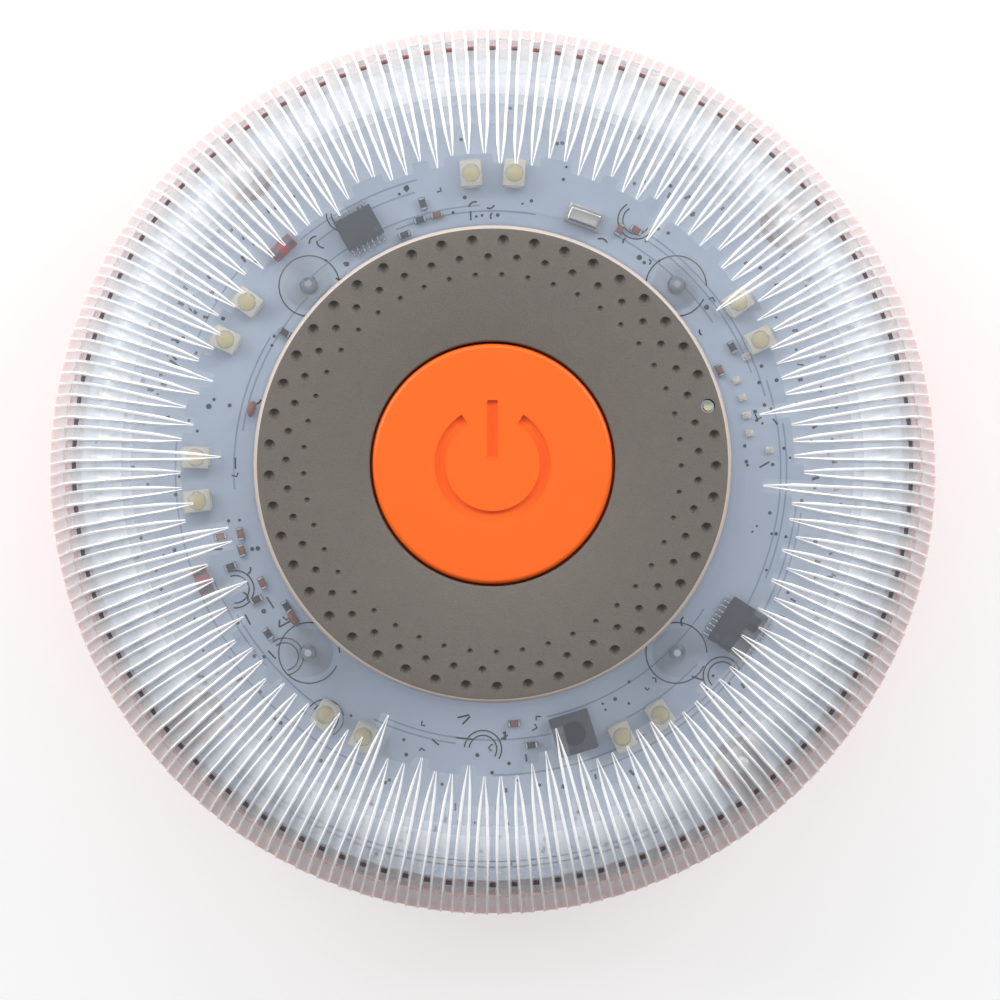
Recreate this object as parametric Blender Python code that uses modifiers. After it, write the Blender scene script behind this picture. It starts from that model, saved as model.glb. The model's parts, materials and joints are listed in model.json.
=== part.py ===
"""A round roadside warning beacon: a clear lens over an LED board, a push button in a grey cover plate,
and an orange base with three AAA cells behind a bayonet door that holds a magnet.

Lengths are in metres. +Z runs up through the button. The origin is the centre of the foot ring's underside.
"""

import math

import bmesh
import bpy
from mathutils import Matrix, Vector

MM = 0.001
GAP = 0.3 * MM  # kept between neighbouring pieces that touch on the real object
OVERLAP = 0.5 * MM  # how far a joined shape reaches into the one that carries it
FINE_STEPS = 48  # facets round the casings
SMALL_STEPS = 24  # facets round the inner pieces
BOSS_STEPS = 14  # facets round posts and bosses
PIN_STEPS = 10  # facets round screws and pins
SHARP_ANGLE = math.radians(28)  # edges that turn further than this are shaded sharp

# Lens
LENS_RADIUS = 55.0 * MM
LENS_TOP = 41.0 * MM  # height of the lens beside the cover plate
LENS_WALL = 1.8 * MM
LENS_TOP_FALL = 2.4 * MM  # how far the top face falls towards the shoulder
LENS_WALL_DRAFT = 4.1 * MM  # how far the side wall leans in on its way up
LENS_SHOULDER = 8.5 * MM  # radius of the shoulder

# Cover plate
PLATE_RADIUS = 28.6 * MM
PLATE_DEPTH = 3.3 * MM
PLATE_PROUD = 1.0 * MM  # how far it stands above the lens
PLATE_BEVEL = 0.6 * MM

# Button and what it pushes
BUTTON_RADIUS = 14.35 * MM
BUTTON_PROUD = 0.3 * MM
BUTTON_SKIN = 1.9 * MM
BUTTON_WALL = 1.6 * MM
BUTTON_TRAVEL = 1.5 * MM
BUTTON_LIP = 1.4 * MM  # how far the hidden lip reaches under the plate
BUTTON_LIP_DEPTH = 1.2 * MM
STEM_RADIUS = 3.0 * MM
GUIDE_WALL = 1.4 * MM
GUIDE_RIM = 2.4 * MM
GUIDE_DROP = 5.1 * MM  # from the underside of the lens floor to that of the guide
GUIDE_FLOOR = 1.4 * MM
GUIDE_COLLAR = 3.0 * MM
SEAL_CORD = 0.42 * MM  # radius of the stem seal's section
SPRING_COIL = 5.2 * MM
SPRING_WIRE = 0.3 * MM
SPRING_TURNS = 4
SWITCH_SIDE = 8.4 * MM
SWITCH_HEIGHT = 6.3 * MM
SWITCH_FLOOR = 1.2 * MM
PLUNGER_RADIUS = 1.9 * MM

# Base
BASE_RIM_INSET = 0.2 * MM  # how far the base's rim stays inside the lens's edge
BASE_RIM_TOP = 17.5 * MM
BASE_RIM_DEPTH = 1.7 * MM
BASE_RIM_STEP = 0.8 * MM
BASE_WALL = 2.1 * MM
BASE_DRAFT = 1.0 * MM
BASE_FLOOR = 2.2 * MM
BASE_EDGE = 2.2 * MM
RIM_LAND = 0.5 * MM
RIM_GROOVE = 1.4 * MM
RIM_GROOVE_DEPTH = 1.1 * MM

# Foot ring
FOOT_INNER = 39.5 * MM
FOOT_WIDTH = 4.5 * MM
FOOT_PROUD = 1.2 * MM
FOOT_SUNK = 0.7 * MM

# Cells and their cradle
CELL_LENGTH = 44.5 * MM
CELL_RADIUS = 5.25 * MM
CELL_PITCH = 11.2 * MM
CELL_CAP_RADIUS = 1.9 * MM
CELL_CAP_HEIGHT = 1.0 * MM
CELL_SPRING = 2.4 * MM
CELL_SPRING_WIRE = 0.25 * MM
CELL_SPRING_RADII = (3.4 * MM, 2.3 * MM)  # of its coil, at the contact and at the cell
CELL_SPRING_TURNS = 2.2
CONTACT_SHEET = 0.4 * MM
CONTACT_WIDTH = 8.4 * MM
CONTACT_HEIGHT = 8.0 * MM
CONTACT_TAB = 2.2 * MM
CRADLE_WALL = 1.4 * MM
CRADLE_SIDE_ROOM = 0.65 * MM
CRADLE_EAR = 13.4 * MM
CRADLE_EAR_WIDTH = 7.0 * MM
CRADLE_EAR_DEPTH = 1.8 * MM
CRADLE_POST_RADIUS = 2.8 * MM
CRADLE_RIB = (CELL_LENGTH - 9.0 * MM, 1.2 * MM, 2.8 * MM)

# Battery door
DOOR_CORNER_ROOM = 0.6 * MM  # kept round the corners of the block of cells
DOOR_SKIN = 2.0 * MM
DOOR_WALL = 1.5 * MM
DOOR_FLANGE = 2.4 * MM
DOOR_FLANGE_DEPTH = 1.0 * MM
DOOR_SEAL_GROOVE = 1.1 * MM
DOOR_SEAL_CORD = 0.4 * MM
DOOR_LUGS = 3
DOOR_LUG_REACH = 2.3 * MM
DOOR_LUG_WIDTH = 7.0 * MM
DOOR_LUG_DEPTH = 1.0 * MM
DOOR_TURN = math.radians(30)  # from locked to open
DOOR_FIRST_LUG = math.radians(90)
COLLAR_WIDTH = 4.7 * MM
COLLAR_HEIGHT = 3.7 * MM
GRIP_INNER = 15.0 * MM
GRIP_LENGTH = 9.0 * MM
GRIP_WIDTH = 14.0 * MM
GRIP_DEPTH = 1.2 * MM

# Magnet in the door
MAGNET_RADIUS = 8.7 * MM
MAGNET_DEPTH = 1.7 * MM
MAGNET_UNDERSIDE = 1.0 * MM
MAGNET_CUP_WALL = 1.6 * MM
MAGNET_CUP_ROOF = 0.9 * MM
MAGNET_COVER = 0.8 * MM

# Circuit board
BOARD_UNDERSIDE = 19.2 * MM
BOARD_THICKNESS = 1.6 * MM
BOARD_ROOM = 1.9 * MM  # from its edge to the inside of the lens
BOARD_SCREW_RADIUS = 0.9 * MM
BOARD_SCREW_HEAD = 1.9 * MM
BOARD_SCREW_HEAD_DEPTH = 1.3 * MM
BOARD_SCREW_REACH = 4.2 * MM
BOARD_BOSS_RADIUS = 3.0 * MM
BOARD_SCREW_ANGLES = [math.radians(45 + 90 * k) for k in range(4)]

# Case screws
CASE_SCREW_RADIUS = 1.1 * MM
CASE_SCREW_HEAD = 2.3 * MM
CASE_SCREW_HEAD_DEPTH = 1.5 * MM
CASE_SCREW_REACH = 5.5 * MM
CASE_SCREW_INSET = 7.5 * MM  # from the lens's outer edge to the screws' circle
CASE_POST_RADIUS = 3.1 * MM
CASE_BOSS_RADIUS = 2.8 * MM
CASE_BOSS_TOP = 8.0 * MM  # below the lens's top
CASE_WEB_DROP = 3.0 * MM  # from the boss's top to that of its web
CASE_SCREW_ANGLES = [math.radians(40 + 90 * k) for k in range(4)]

# Parts on the board: (distance from the middle, angle in degrees, (length, width, height), material)
LED_CIRCLE = 36.6 * MM
LED_PAIR_ANGLES = [math.radians(a) for a in (30, 90, 150, 182, 240, 300)]
LED_PAIR_HALF = math.radians(4.2)
LED_BODY = (3.5 * MM, 2.8 * MM, 1.3 * MM)
LED_DOME = 1.15 * MM
BOARD_BLOCKS = {
    "controller_chip": (36.0 * MM, -33, (5.0 * MM, 6.2 * MM, 1.5 * MM), "black_epoxy"),
    "driver_chip": (34.0 * MM, 119, (4.0 * MM, 5.0 * MM, 1.5 * MM), "black_epoxy"),
    "inductor": (34.0 * MM, -73, (5.0 * MM, 5.0 * MM, 2.8 * MM), "ferrite"),
    "crystal": (33.0 * MM, 70, (2.5 * MM, 4.6 * MM, 1.2 * MM), "nickel_plate"),
    "tantalum_capacitor_1": (37.6 * MM, 133.5, (1.8 * MM, 3.4 * MM, 1.7 * MM), "red_epoxy"),
    "tantalum_capacitor_2": (38.2 * MM, 201, (1.8 * MM, 3.4 * MM, 1.7 * MM), "red_epoxy"),
    "light_sensor": (26.7 * MM, 15, (2.0 * MM, 1.4 * MM, 0.9 * MM), "clear_epoxy"),
}

# Light pipe in the cover plate, over the light sensor
PIPE_RADIUS = 0.55 * MM
PIPE_SUNK = 0.5 * MM

# Heights and radii that follow from the sizes above
PLATE_TOP = LENS_TOP + PLATE_PROUD
PLATE_UNDERSIDE = PLATE_TOP - PLATE_DEPTH
RECESS_RADIUS = PLATE_RADIUS + GAP
RECESS_FLOOR = PLATE_UNDERSIDE - GAP
LENS_FLOOR_UNDERSIDE = RECESS_FLOOR - LENS_WALL
BUTTON_TOP = PLATE_TOP + BUTTON_PROUD
BUTTON_LIP_TOP = PLATE_UNDERSIDE - GAP
BUTTON_LIP_RADIUS = BUTTON_RADIUS + BUTTON_LIP
BUTTON_LIP_UNDERSIDE = BUTTON_LIP_TOP - BUTTON_LIP_DEPTH
BUTTON_CEILING = BUTTON_TOP - BUTTON_SKIN
LENS_HOLE = BUTTON_LIP_RADIUS + GAP
GUIDE_TOP = LENS_FLOOR_UNDERSIDE - GAP
GUIDE_UNDERSIDE = LENS_FLOOR_UNDERSIDE - GUIDE_DROP
GUIDE_SEAT = GUIDE_UNDERSIDE + GUIDE_COLLAR  # the face that the return spring stands on
STEM_UNDERSIDE = GUIDE_UNDERSIDE - GAP
BOARD_TOP = BOARD_UNDERSIDE + BOARD_THICKNESS
SWITCH_UNDERSIDE = BOARD_TOP + GAP
SWITCH_TOP = SWITCH_UNDERSIDE + SWITCH_HEIGHT
SWITCH_WELL = SWITCH_UNDERSIDE + SWITCH_FLOOR
PLUNGER_TOP = STEM_UNDERSIDE - GAP
PLUNGER_UNDERSIDE = SWITCH_WELL + BUTTON_TRAVEL + GAP
BASE_RADIUS = LENS_RADIUS - BASE_RIM_INSET
BASE_UNDERSIDE = FOOT_PROUD
BASE_FLOOR_TOP = BASE_UNDERSIDE + BASE_FLOOR
LENS_UNDERSIDE = BASE_RIM_TOP + GAP
LENS_WALL_LEAN = LENS_WALL_DRAFT / (LENS_TOP - LENS_TOP_FALL - LENS_UNDERSIDE)
BOARD_RADIUS = LENS_RADIUS - LENS_WALL - BOARD_ROOM - (BOARD_TOP - LENS_UNDERSIDE) * LENS_WALL_LEAN
BOARD_SCREW_CIRCLE = RECESS_RADIUS + BOARD_BOSS_RADIUS + 0.1 * MM
CASE_SCREW_CIRCLE = LENS_RADIUS - CASE_SCREW_INSET
CASE_POST_TOP = BASE_RIM_TOP - GAP
CASE_BOSS_UNDERSIDE = CASE_POST_TOP + GAP
MAGNET_TOP = MAGNET_UNDERSIDE + MAGNET_DEPTH
MAGNET_CUP_TOP = MAGNET_TOP + GAP + MAGNET_CUP_ROOF
MAGNET_CUP_RADIUS = MAGNET_RADIUS + GAP + MAGNET_CUP_WALL
DOOR_POCKET_ROOF = MAGNET_CUP_TOP + GAP
DOOR_BOSS_TOP = DOOR_POCKET_ROOF + MAGNET_COVER
CELL_HEIGHT = DOOR_BOSS_TOP + GAP + CELL_RADIUS  # of the cells' axes
COLLAR_TOP = BASE_UNDERSIDE + COLLAR_HEIGHT
LUG_UNDERSIDE = COLLAR_TOP + GAP
LUG_TOP = LUG_UNDERSIDE + DOOR_LUG_DEPTH
CELL_END_PLAY = (CELL_SPRING + GAP) / 2  # each cell sits off centre by this, away from its spring
CONTACT_FACE = CELL_LENGTH / 2 + CELL_END_PLAY + GAP
CRADLE_HALF_LENGTH = CONTACT_FACE + CONTACT_SHEET + GAP + CRADLE_WALL
CRADLE_HALF_WIDTH = CELL_PITCH + CELL_RADIUS + CRADLE_SIDE_ROOM + CRADLE_WALL
CRADLE_UNDERSIDE = LUG_TOP + 2 * GAP
CRADLE_CEILING = CELL_HEIGHT + CELL_RADIUS + GAP
CRADLE_TOP = CRADLE_CEILING + CRADLE_WALL
CRADLE_SCREW_X = CRADLE_HALF_LENGTH + CRADLE_EAR - CRADLE_EAR_WIDTH / 2
# The door's wall clears the lowest stretch of the outer cells' corners, which lies between it.
CELL_CORNER_Y = CELL_PITCH + math.sqrt(CELL_RADIUS**2 - (CELL_HEIGHT - LUG_TOP) ** 2)
CELL_CORNER_X = CELL_LENGTH / 2 + CELL_END_PLAY - CELL_CAP_HEIGHT
DOOR_WALL_INNER = math.hypot(CELL_CORNER_X, CELL_CORNER_Y) + DOOR_CORNER_ROOM
DOOR_WALL_OUTER = DOOR_WALL_INNER + DOOR_WALL
DOOR_RADIUS = DOOR_WALL_OUTER + DOOR_FLANGE
OPENING_RADIUS = DOOR_WALL_OUTER + GAP
DOOR_RECESS_RADIUS = DOOR_RADIUS + 2 * GAP
DOOR_FLANGE_TOP = BASE_UNDERSIDE + DOOR_FLANGE_DEPTH
DOOR_SKIN_TOP = BASE_UNDERSIDE + DOOR_SKIN
DOOR_SEAL_Z = (DOOR_FLANGE_TOP + COLLAR_TOP) / 2

COLORS = {
    "orange_abs": ((0.86, 0.13, 0.01), 0.42, 0.0),
    "orange_button": ((0.90, 0.14, 0.01), 0.45, 0.0),
    "grey_plate": ((0.12, 0.11, 0.10), 0.70, 0.0),
    "clear_lens": ((0.90, 0.93, 0.96), 0.08, 0.0),
    "white_board": ((0.62, 0.68, 0.76), 0.45, 0.0),
    "black_plastic": ((0.03, 0.03, 0.03), 0.50, 0.0),
    "black_rubber": ((0.02, 0.02, 0.02), 0.85, 0.0),
    "silicone": ((0.35, 0.35, 0.36), 0.60, 0.0),
    "spring_steel": ((0.60, 0.60, 0.60), 0.25, 1.0),
    "nickel_plate": ((0.70, 0.69, 0.66), 0.28, 1.0),
    "zinc_screw": ((0.62, 0.62, 0.64), 0.32, 1.0),
    "magnet_metal": ((0.50, 0.50, 0.52), 0.22, 1.0),
    "cell_jacket": ((0.05, 0.06, 0.08), 0.35, 0.0),
    "black_epoxy": ((0.015, 0.015, 0.015), 0.45, 0.0),
    "ferrite": ((0.05, 0.05, 0.05), 0.60, 0.0),
    "red_epoxy": ((0.55, 0.06, 0.02), 0.40, 0.0),
    "clear_epoxy": ((0.90, 0.88, 0.75), 0.15, 0.0),
    "led_package": ((0.90, 0.88, 0.80), 0.20, 0.0),
}


def clear_scene():
    for obj in list(bpy.data.objects):
        bpy.data.objects.remove(obj)


def new_collection(name):
    collection = bpy.data.collections.new(name)
    bpy.context.scene.collection.children.link(collection)
    return collection


def material(slot):
    found = bpy.data.materials.get(slot)
    if found:
        return found
    color, roughness, metallic = COLORS[slot]
    made = bpy.data.materials.new(slot)
    made.use_nodes = True
    shader = made.node_tree.nodes["Principled BSDF"]
    shader.inputs["Base Color"].default_value = (*color, 1.0)
    shader.inputs["Roughness"].default_value = roughness
    shader.inputs["Metallic"].default_value = metallic
    made.diffuse_color = (*color, 1.0)
    return made


# Shapes


def add(name, mesh, slot=None):
    """A new object: a part where a material slot is given, else a helper that is joined or cut away."""
    obj = bpy.data.objects.new(name, mesh)
    if slot:
        mesh.materials.clear()
        mesh.materials.append(material(slot))
        PARTS.objects.link(obj)
    else:
        obj.hide_render = True
        obj.display_type = "WIRE"
        HELPERS.objects.link(obj)
    return obj


def mesh_from(name, bm):
    mesh = bpy.data.meshes.new(name)
    bm.to_mesh(mesh)
    bm.free()
    return mesh


def turned(name, profile, slot=None, steps=FINE_STEPS):
    """A profile of (radius, height) points turned about Z. One that starts and ends on the axis makes a disc
    and any other closes into a ring. It runs down its outer side."""
    bm = bmesh.new()
    corners = [bm.verts.new((radius, 0, height)) for radius, height in profile]
    on_axis = profile[0][0] == 0 and profile[-1][0] == 0
    following = corners[1:] if on_axis else corners[1:] + corners[:1]
    for start, end in zip(corners, following):
        bm.edges.new((start, end))
    obj = add(name, mesh_from(name, bm), slot)
    screw = obj.modifiers.new("Turn", "SCREW")
    screw.steps = screw.render_steps = steps
    screw.use_merge_vertices = True
    screw.merge_threshold = 1e-6
    return obj


def box(name, size, centre, slot=None, angle=0.0):
    """A box whose length runs along X before it is turned about Z by the angle."""
    bm = bmesh.new()
    bmesh.ops.create_cube(bm, size=1, matrix=Matrix.Diagonal((*size, 1)))
    obj = add(name, mesh_from(name, bm), slot)
    obj.location = centre
    obj.rotation_euler.z = angle
    return obj


def cylinder(name, radius, bottom, top, centre=(0, 0), slot=None, steps=SMALL_STEPS):
    bm = bmesh.new()
    bmesh.ops.create_cone(
        bm,
        cap_ends=True,
        segments=steps,
        radius1=radius,
        radius2=radius,
        depth=top - bottom,
    )
    obj = add(name, mesh_from(name, bm), slot)
    obj.location = (*centre, (top + bottom) / 2)
    return obj


def ring_cord(name, circle, cord, height, slot, around=FINE_STEPS, across=4):
    """A round cord bent into a ring about Z."""
    section = [2 * math.pi * k / across for k in range(across)]
    profile = [(circle + cord * math.cos(a), height - cord * math.sin(a)) for a in section]
    return turned(name, profile, slot, around)


def coil(name, radii, wire, length, turns, slot, points_per_turn=10):
    """A wound wire along Z from its origin, whose coil radius runs from the first radius to the second."""
    curve = bpy.data.curves.new(name, "CURVE")
    curve.dimensions = "3D"
    curve.bevel_depth = wire
    curve.bevel_resolution = 1
    curve.use_fill_caps = True
    count = round(turns * points_per_turn) + 1
    spline = curve.splines.new("POLY")
    spline.points.add(count - 1)
    for k, point in enumerate(spline.points):
        share = k / (count - 1)
        angle = 2 * math.pi * turns * share
        radius = radii[0] + (radii[1] - radii[0]) * share
        height = wire + (length - 2 * wire) * share
        point.co = (radius * math.cos(angle), radius * math.sin(angle), height, 1)
    obj = bpy.data.objects.new(name, curve)
    curve.materials.append(material(slot))
    PARTS.objects.link(obj)
    return obj


def polar(distance, angle, height=None):
    flat = (distance * math.cos(angle), distance * math.sin(angle))
    return flat if height is None else (*flat, height)


def join(obj, other):
    boolean(obj, other, "UNION")


def cut(obj, other):
    boolean(obj, other, "DIFFERENCE")


def boolean(obj, other, operation):
    modifier = obj.modifiers.new(other.name, "BOOLEAN")
    modifier.operation = operation
    modifier.object = other


def rounded(before, corner, after, radius, parts):
    """The points of the arc that rounds a corner between two straight runs."""
    corner = Vector(corner)
    back = (Vector(before) - corner).normalized()
    ahead = (Vector(after) - corner).normalized()
    half = back.angle(ahead) / 2
    centre = corner + (back + ahead).normalized() * radius / math.sin(half)
    start = corner + back * radius / math.tan(half) - centre
    end = corner + ahead * radius / math.tan(half) - centre
    swept = start.angle(end)
    shares = [k / parts for k in range(parts + 1)]
    arc = [(start * math.sin((1 - t) * swept) + end * math.sin(t * swept)) / math.sin(swept) for t in shares]
    return [tuple(centre + point) for point in arc]


def apply_modifiers(obj):
    bpy.context.view_layer.update()
    graph = bpy.context.evaluated_depsgraph_get()
    obj.data = bpy.data.meshes.new_from_object(obj.evaluated_get(graph))
    obj.modifiers.clear()


def copies(name, first, places):
    """Numbered objects that share the first one's mesh, one at each (location, angle about Z)."""
    apply_modifiers(first)
    for number, (location, angle) in enumerate(places, start=1):
        obj = first
        if number > 1:
            obj = bpy.data.objects.new(f"{name}_{number}", first.data)
            PARTS.objects.link(obj)
        obj.location = location
        obj.rotation_euler.z = angle


def settle():
    """Makes each part's modifiers real, shades its round faces smooth and removes the helpers."""
    for obj in PARTS.objects:
        if obj.type != "MESH":
            continue
        if obj.modifiers:
            apply_modifiers(obj)
        obj.data.shade_smooth()
        obj.data.set_sharp_from_angle(angle=SHARP_ANGLE)
    for obj in list(HELPERS.objects):
        bpy.data.objects.remove(obj)


# Base


def base_profile():
    rim_outer = (BASE_RADIUS, BASE_RIM_TOP)
    rim_inner = BASE_RADIUS - 2 * RIM_LAND - RIM_GROOVE
    groove = BASE_RADIUS - RIM_LAND
    groove_floor = BASE_RIM_TOP - RIM_GROOVE_DEPTH
    wall_top = (BASE_RADIUS - BASE_RIM_STEP, BASE_RIM_TOP - BASE_RIM_DEPTH - BASE_RIM_STEP)
    wall_foot = (wall_top[0] - BASE_DRAFT, BASE_UNDERSIDE)
    inner_foot = (wall_foot[0] - BASE_WALL, BASE_FLOOR_TOP)
    groove_top = BASE_UNDERSIDE + FOOT_SUNK + GAP
    foot_outer = FOOT_INNER + FOOT_WIDTH + GAP
    foot_inner = FOOT_INNER - GAP
    door_ledge = DOOR_FLANGE_TOP + GAP
    collar_outer = OPENING_RADIUS + COLLAR_WIDTH
    edge = rounded(wall_top, wall_foot, (foot_outer, BASE_UNDERSIDE), BASE_EDGE, 3)
    return [
        rim_outer,
        (BASE_RADIUS, BASE_RIM_TOP - BASE_RIM_DEPTH),
        wall_top,
        *edge,
        (foot_outer, BASE_UNDERSIDE),
        (foot_outer, groove_top),
        (foot_inner, groove_top),
        (foot_inner, BASE_UNDERSIDE),
        (DOOR_RECESS_RADIUS, BASE_UNDERSIDE),
        (DOOR_RECESS_RADIUS, door_ledge),
        (OPENING_RADIUS, door_ledge),
        (OPENING_RADIUS, COLLAR_TOP),
        (collar_outer, COLLAR_TOP),
        (collar_outer, BASE_FLOOR_TOP),
        inner_foot,
        (rim_inner, groove_floor),
        (rim_inner, BASE_RIM_TOP),
        (groove - RIM_GROOVE, BASE_RIM_TOP),
        (groove - RIM_GROOVE, groove_floor),
        (groove, groove_floor),
        (groove, BASE_RIM_TOP),
    ]


def make_base():
    base = turned("base_shell", base_profile(), "orange_abs")
    for number, angle in enumerate(CASE_SCREW_ANGLES, start=1):
        place = polar(CASE_SCREW_CIRCLE, angle)
        post_foot = BASE_FLOOR_TOP - OVERLAP
        name = f"case_post_{number}"
        post = cylinder(name, CASE_POST_RADIUS, post_foot, CASE_POST_TOP, place, steps=BOSS_STEPS)
        join(base, post)
    for number, side in enumerate((-1, 1), start=1):
        place = (side * CRADLE_SCREW_X, 0)
        foot, top = BASE_FLOOR_TOP - OVERLAP, CRADLE_UNDERSIDE - GAP
        join(base, cylinder(f"cradle_post_{number}", CRADLE_POST_RADIUS, foot, top, place, steps=BOSS_STEPS))
    cut_base(base)


def cut_base(base):
    head_room = CASE_SCREW_HEAD + GAP + 0.1 * MM
    head_top = BASE_UNDERSIDE + CASE_SCREW_HEAD_DEPTH + 2 * GAP
    bore = CASE_SCREW_RADIUS + GAP
    for number, angle in enumerate(CASE_SCREW_ANGLES, start=1):
        place = polar(CASE_SCREW_CIRCLE, angle)
        cut(base, cylinder(f"case_bore_{number}", bore, 0, CASE_POST_TOP + OVERLAP, place, steps=PIN_STEPS))
        cut(base, cylinder(f"case_sink_{number}", head_room, 0, head_top, place, steps=BOSS_STEPS))
    for number, side in enumerate((-1, 1), start=1):
        place = (side * CRADLE_SCREW_X, 0)
        pilot_floor = BASE_FLOOR_TOP - 2 * GAP
        bore_radius = BOARD_SCREW_RADIUS + GAP
        top = CRADLE_UNDERSIDE
        cut(base, cylinder(f"pilot_{number}", bore_radius, pilot_floor, top, place, steps=PIN_STEPS))
    notch_length = 2 * (DOOR_LUG_REACH + GAP)
    for number in range(DOOR_LUGS):
        angle = DOOR_FIRST_LUG + DOOR_TURN + 2 * math.pi * number / DOOR_LUGS
        size = (notch_length, DOOR_LUG_WIDTH + 4 * GAP, 4 * COLLAR_HEIGHT)
        cut(base, box(f"notch_{number + 1}", size, polar(DOOR_WALL_OUTER, angle, COLLAR_TOP), angle=angle))


def make_foot_ring():
    top = BASE_UNDERSIDE + FOOT_SUNK
    outer = FOOT_INNER + FOOT_WIDTH
    bevel = 0.5 * MM
    profile = [
        (outer, top),
        (outer, bevel),
        (outer - bevel, 0),
        (FOOT_INNER + bevel, 0),
        (FOOT_INNER, bevel),
        (FOOT_INNER, top),
    ]
    turned("foot_ring", profile, "black_rubber")


def make_rim_gasket():
    cord = RIM_GROOVE / 2 - GAP + 0.1 * MM
    circle = BASE_RADIUS - RIM_LAND - RIM_GROOVE / 2
    height = BASE_RIM_TOP - RIM_GROOVE_DEPTH + GAP + cord
    ring_cord("rim_gasket", circle, cord, height, "silicone")


# Battery door and magnet


def door_profile():
    groove = DOOR_WALL_OUTER - DOOR_SEAL_GROOVE
    groove_half = DOOR_SEAL_CORD + 0.2 * MM
    pocket = MAGNET_CUP_RADIUS + GAP
    boss = pocket + MAGNET_COVER
    edge = 0.3 * MM
    return [
        (0, DOOR_BOSS_TOP),
        (boss, DOOR_BOSS_TOP),
        (boss, DOOR_SKIN_TOP),
        (DOOR_WALL_INNER, DOOR_SKIN_TOP),
        (DOOR_WALL_INNER, LUG_TOP),
        (DOOR_WALL_OUTER, LUG_TOP),
        (DOOR_WALL_OUTER, DOOR_SEAL_Z + groove_half),
        (groove, DOOR_SEAL_Z + groove_half),
        (groove, DOOR_SEAL_Z - groove_half),
        (DOOR_WALL_OUTER, DOOR_SEAL_Z - groove_half),
        (DOOR_WALL_OUTER, DOOR_FLANGE_TOP),
        (DOOR_RADIUS, DOOR_FLANGE_TOP),
        (DOOR_RADIUS, BASE_UNDERSIDE + edge),
        (DOOR_RADIUS - edge, BASE_UNDERSIDE),
        (pocket, BASE_UNDERSIDE),
        (pocket, DOOR_POCKET_ROOF),
        (0, DOOR_POCKET_ROOF),
    ]


def make_battery_door():
    door = turned("battery_door", door_profile(), "orange_abs")
    lug_inner = DOOR_WALL_OUTER - OVERLAP
    lug_outer = DOOR_WALL_OUTER + DOOR_LUG_REACH
    for number in range(DOOR_LUGS):
        angle = DOOR_FIRST_LUG + 2 * math.pi * number / DOOR_LUGS
        size = (lug_outer - lug_inner, DOOR_LUG_WIDTH, DOOR_LUG_DEPTH)
        centre = polar((lug_outer + lug_inner) / 2, angle, LUG_UNDERSIDE + DOOR_LUG_DEPTH / 2)
        join(door, box(f"lug_{number + 1}", size, centre, angle=angle))
    for number, side in enumerate((-1, 1), start=1):
        size = (GRIP_LENGTH, GRIP_WIDTH, 2 * GRIP_DEPTH)
        centre = (side * (GRIP_INNER + GRIP_LENGTH / 2), 0, BASE_UNDERSIDE)
        cut(door, box(f"grip_{number}", size, centre))


def make_door_seal():
    circle = DOOR_WALL_OUTER - DOOR_SEAL_GROOVE + DOOR_SEAL_CORD + GAP
    ring_cord("door_seal", circle, DOOR_SEAL_CORD, DOOR_SEAL_Z, "black_rubber")


def make_magnet():
    inner = MAGNET_RADIUS + GAP
    roof = MAGNET_TOP + GAP
    rim = MAGNET_UNDERSIDE
    cup = [
        (0, MAGNET_CUP_TOP),
        (MAGNET_CUP_RADIUS, MAGNET_CUP_TOP),
        (MAGNET_CUP_RADIUS, rim),
        (inner, rim),
        (inner, roof),
        (0, roof),
    ]
    turned("magnet_cup", cup, "magnet_metal", SMALL_STEPS)
    cylinder("magnet", MAGNET_RADIUS, MAGNET_UNDERSIDE, MAGNET_TOP, slot="magnet_metal")


# Cells, cradle and contacts


def cell_y(number):
    return (number - 1) * CELL_PITCH


def cell_side(number):
    """+1 where the cell's positive cap points along +X."""
    return 1 if number % 2 == 0 else -1


def make_cells():
    half = CELL_LENGTH / 2
    shoulder = half - CELL_CAP_HEIGHT
    bevel = 0.5 * MM
    profile = [
        (0, half),
        (CELL_CAP_RADIUS, half),
        (CELL_CAP_RADIUS, shoulder),
        (CELL_RADIUS - bevel, shoulder),
        (CELL_RADIUS, shoulder - bevel),
        (CELL_RADIUS, -half + bevel),
        (CELL_RADIUS - bevel, -half),
        (0, -half),
    ]
    for number in range(3):
        side = cell_side(number)
        cell = turned(f"battery_cell_{number + 1}", profile, "cell_jacket", 24)
        cell.rotation_euler.y = side * math.pi / 2
        cell.location = (side * CELL_END_PLAY, cell_y(number), CELL_HEIGHT)


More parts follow.
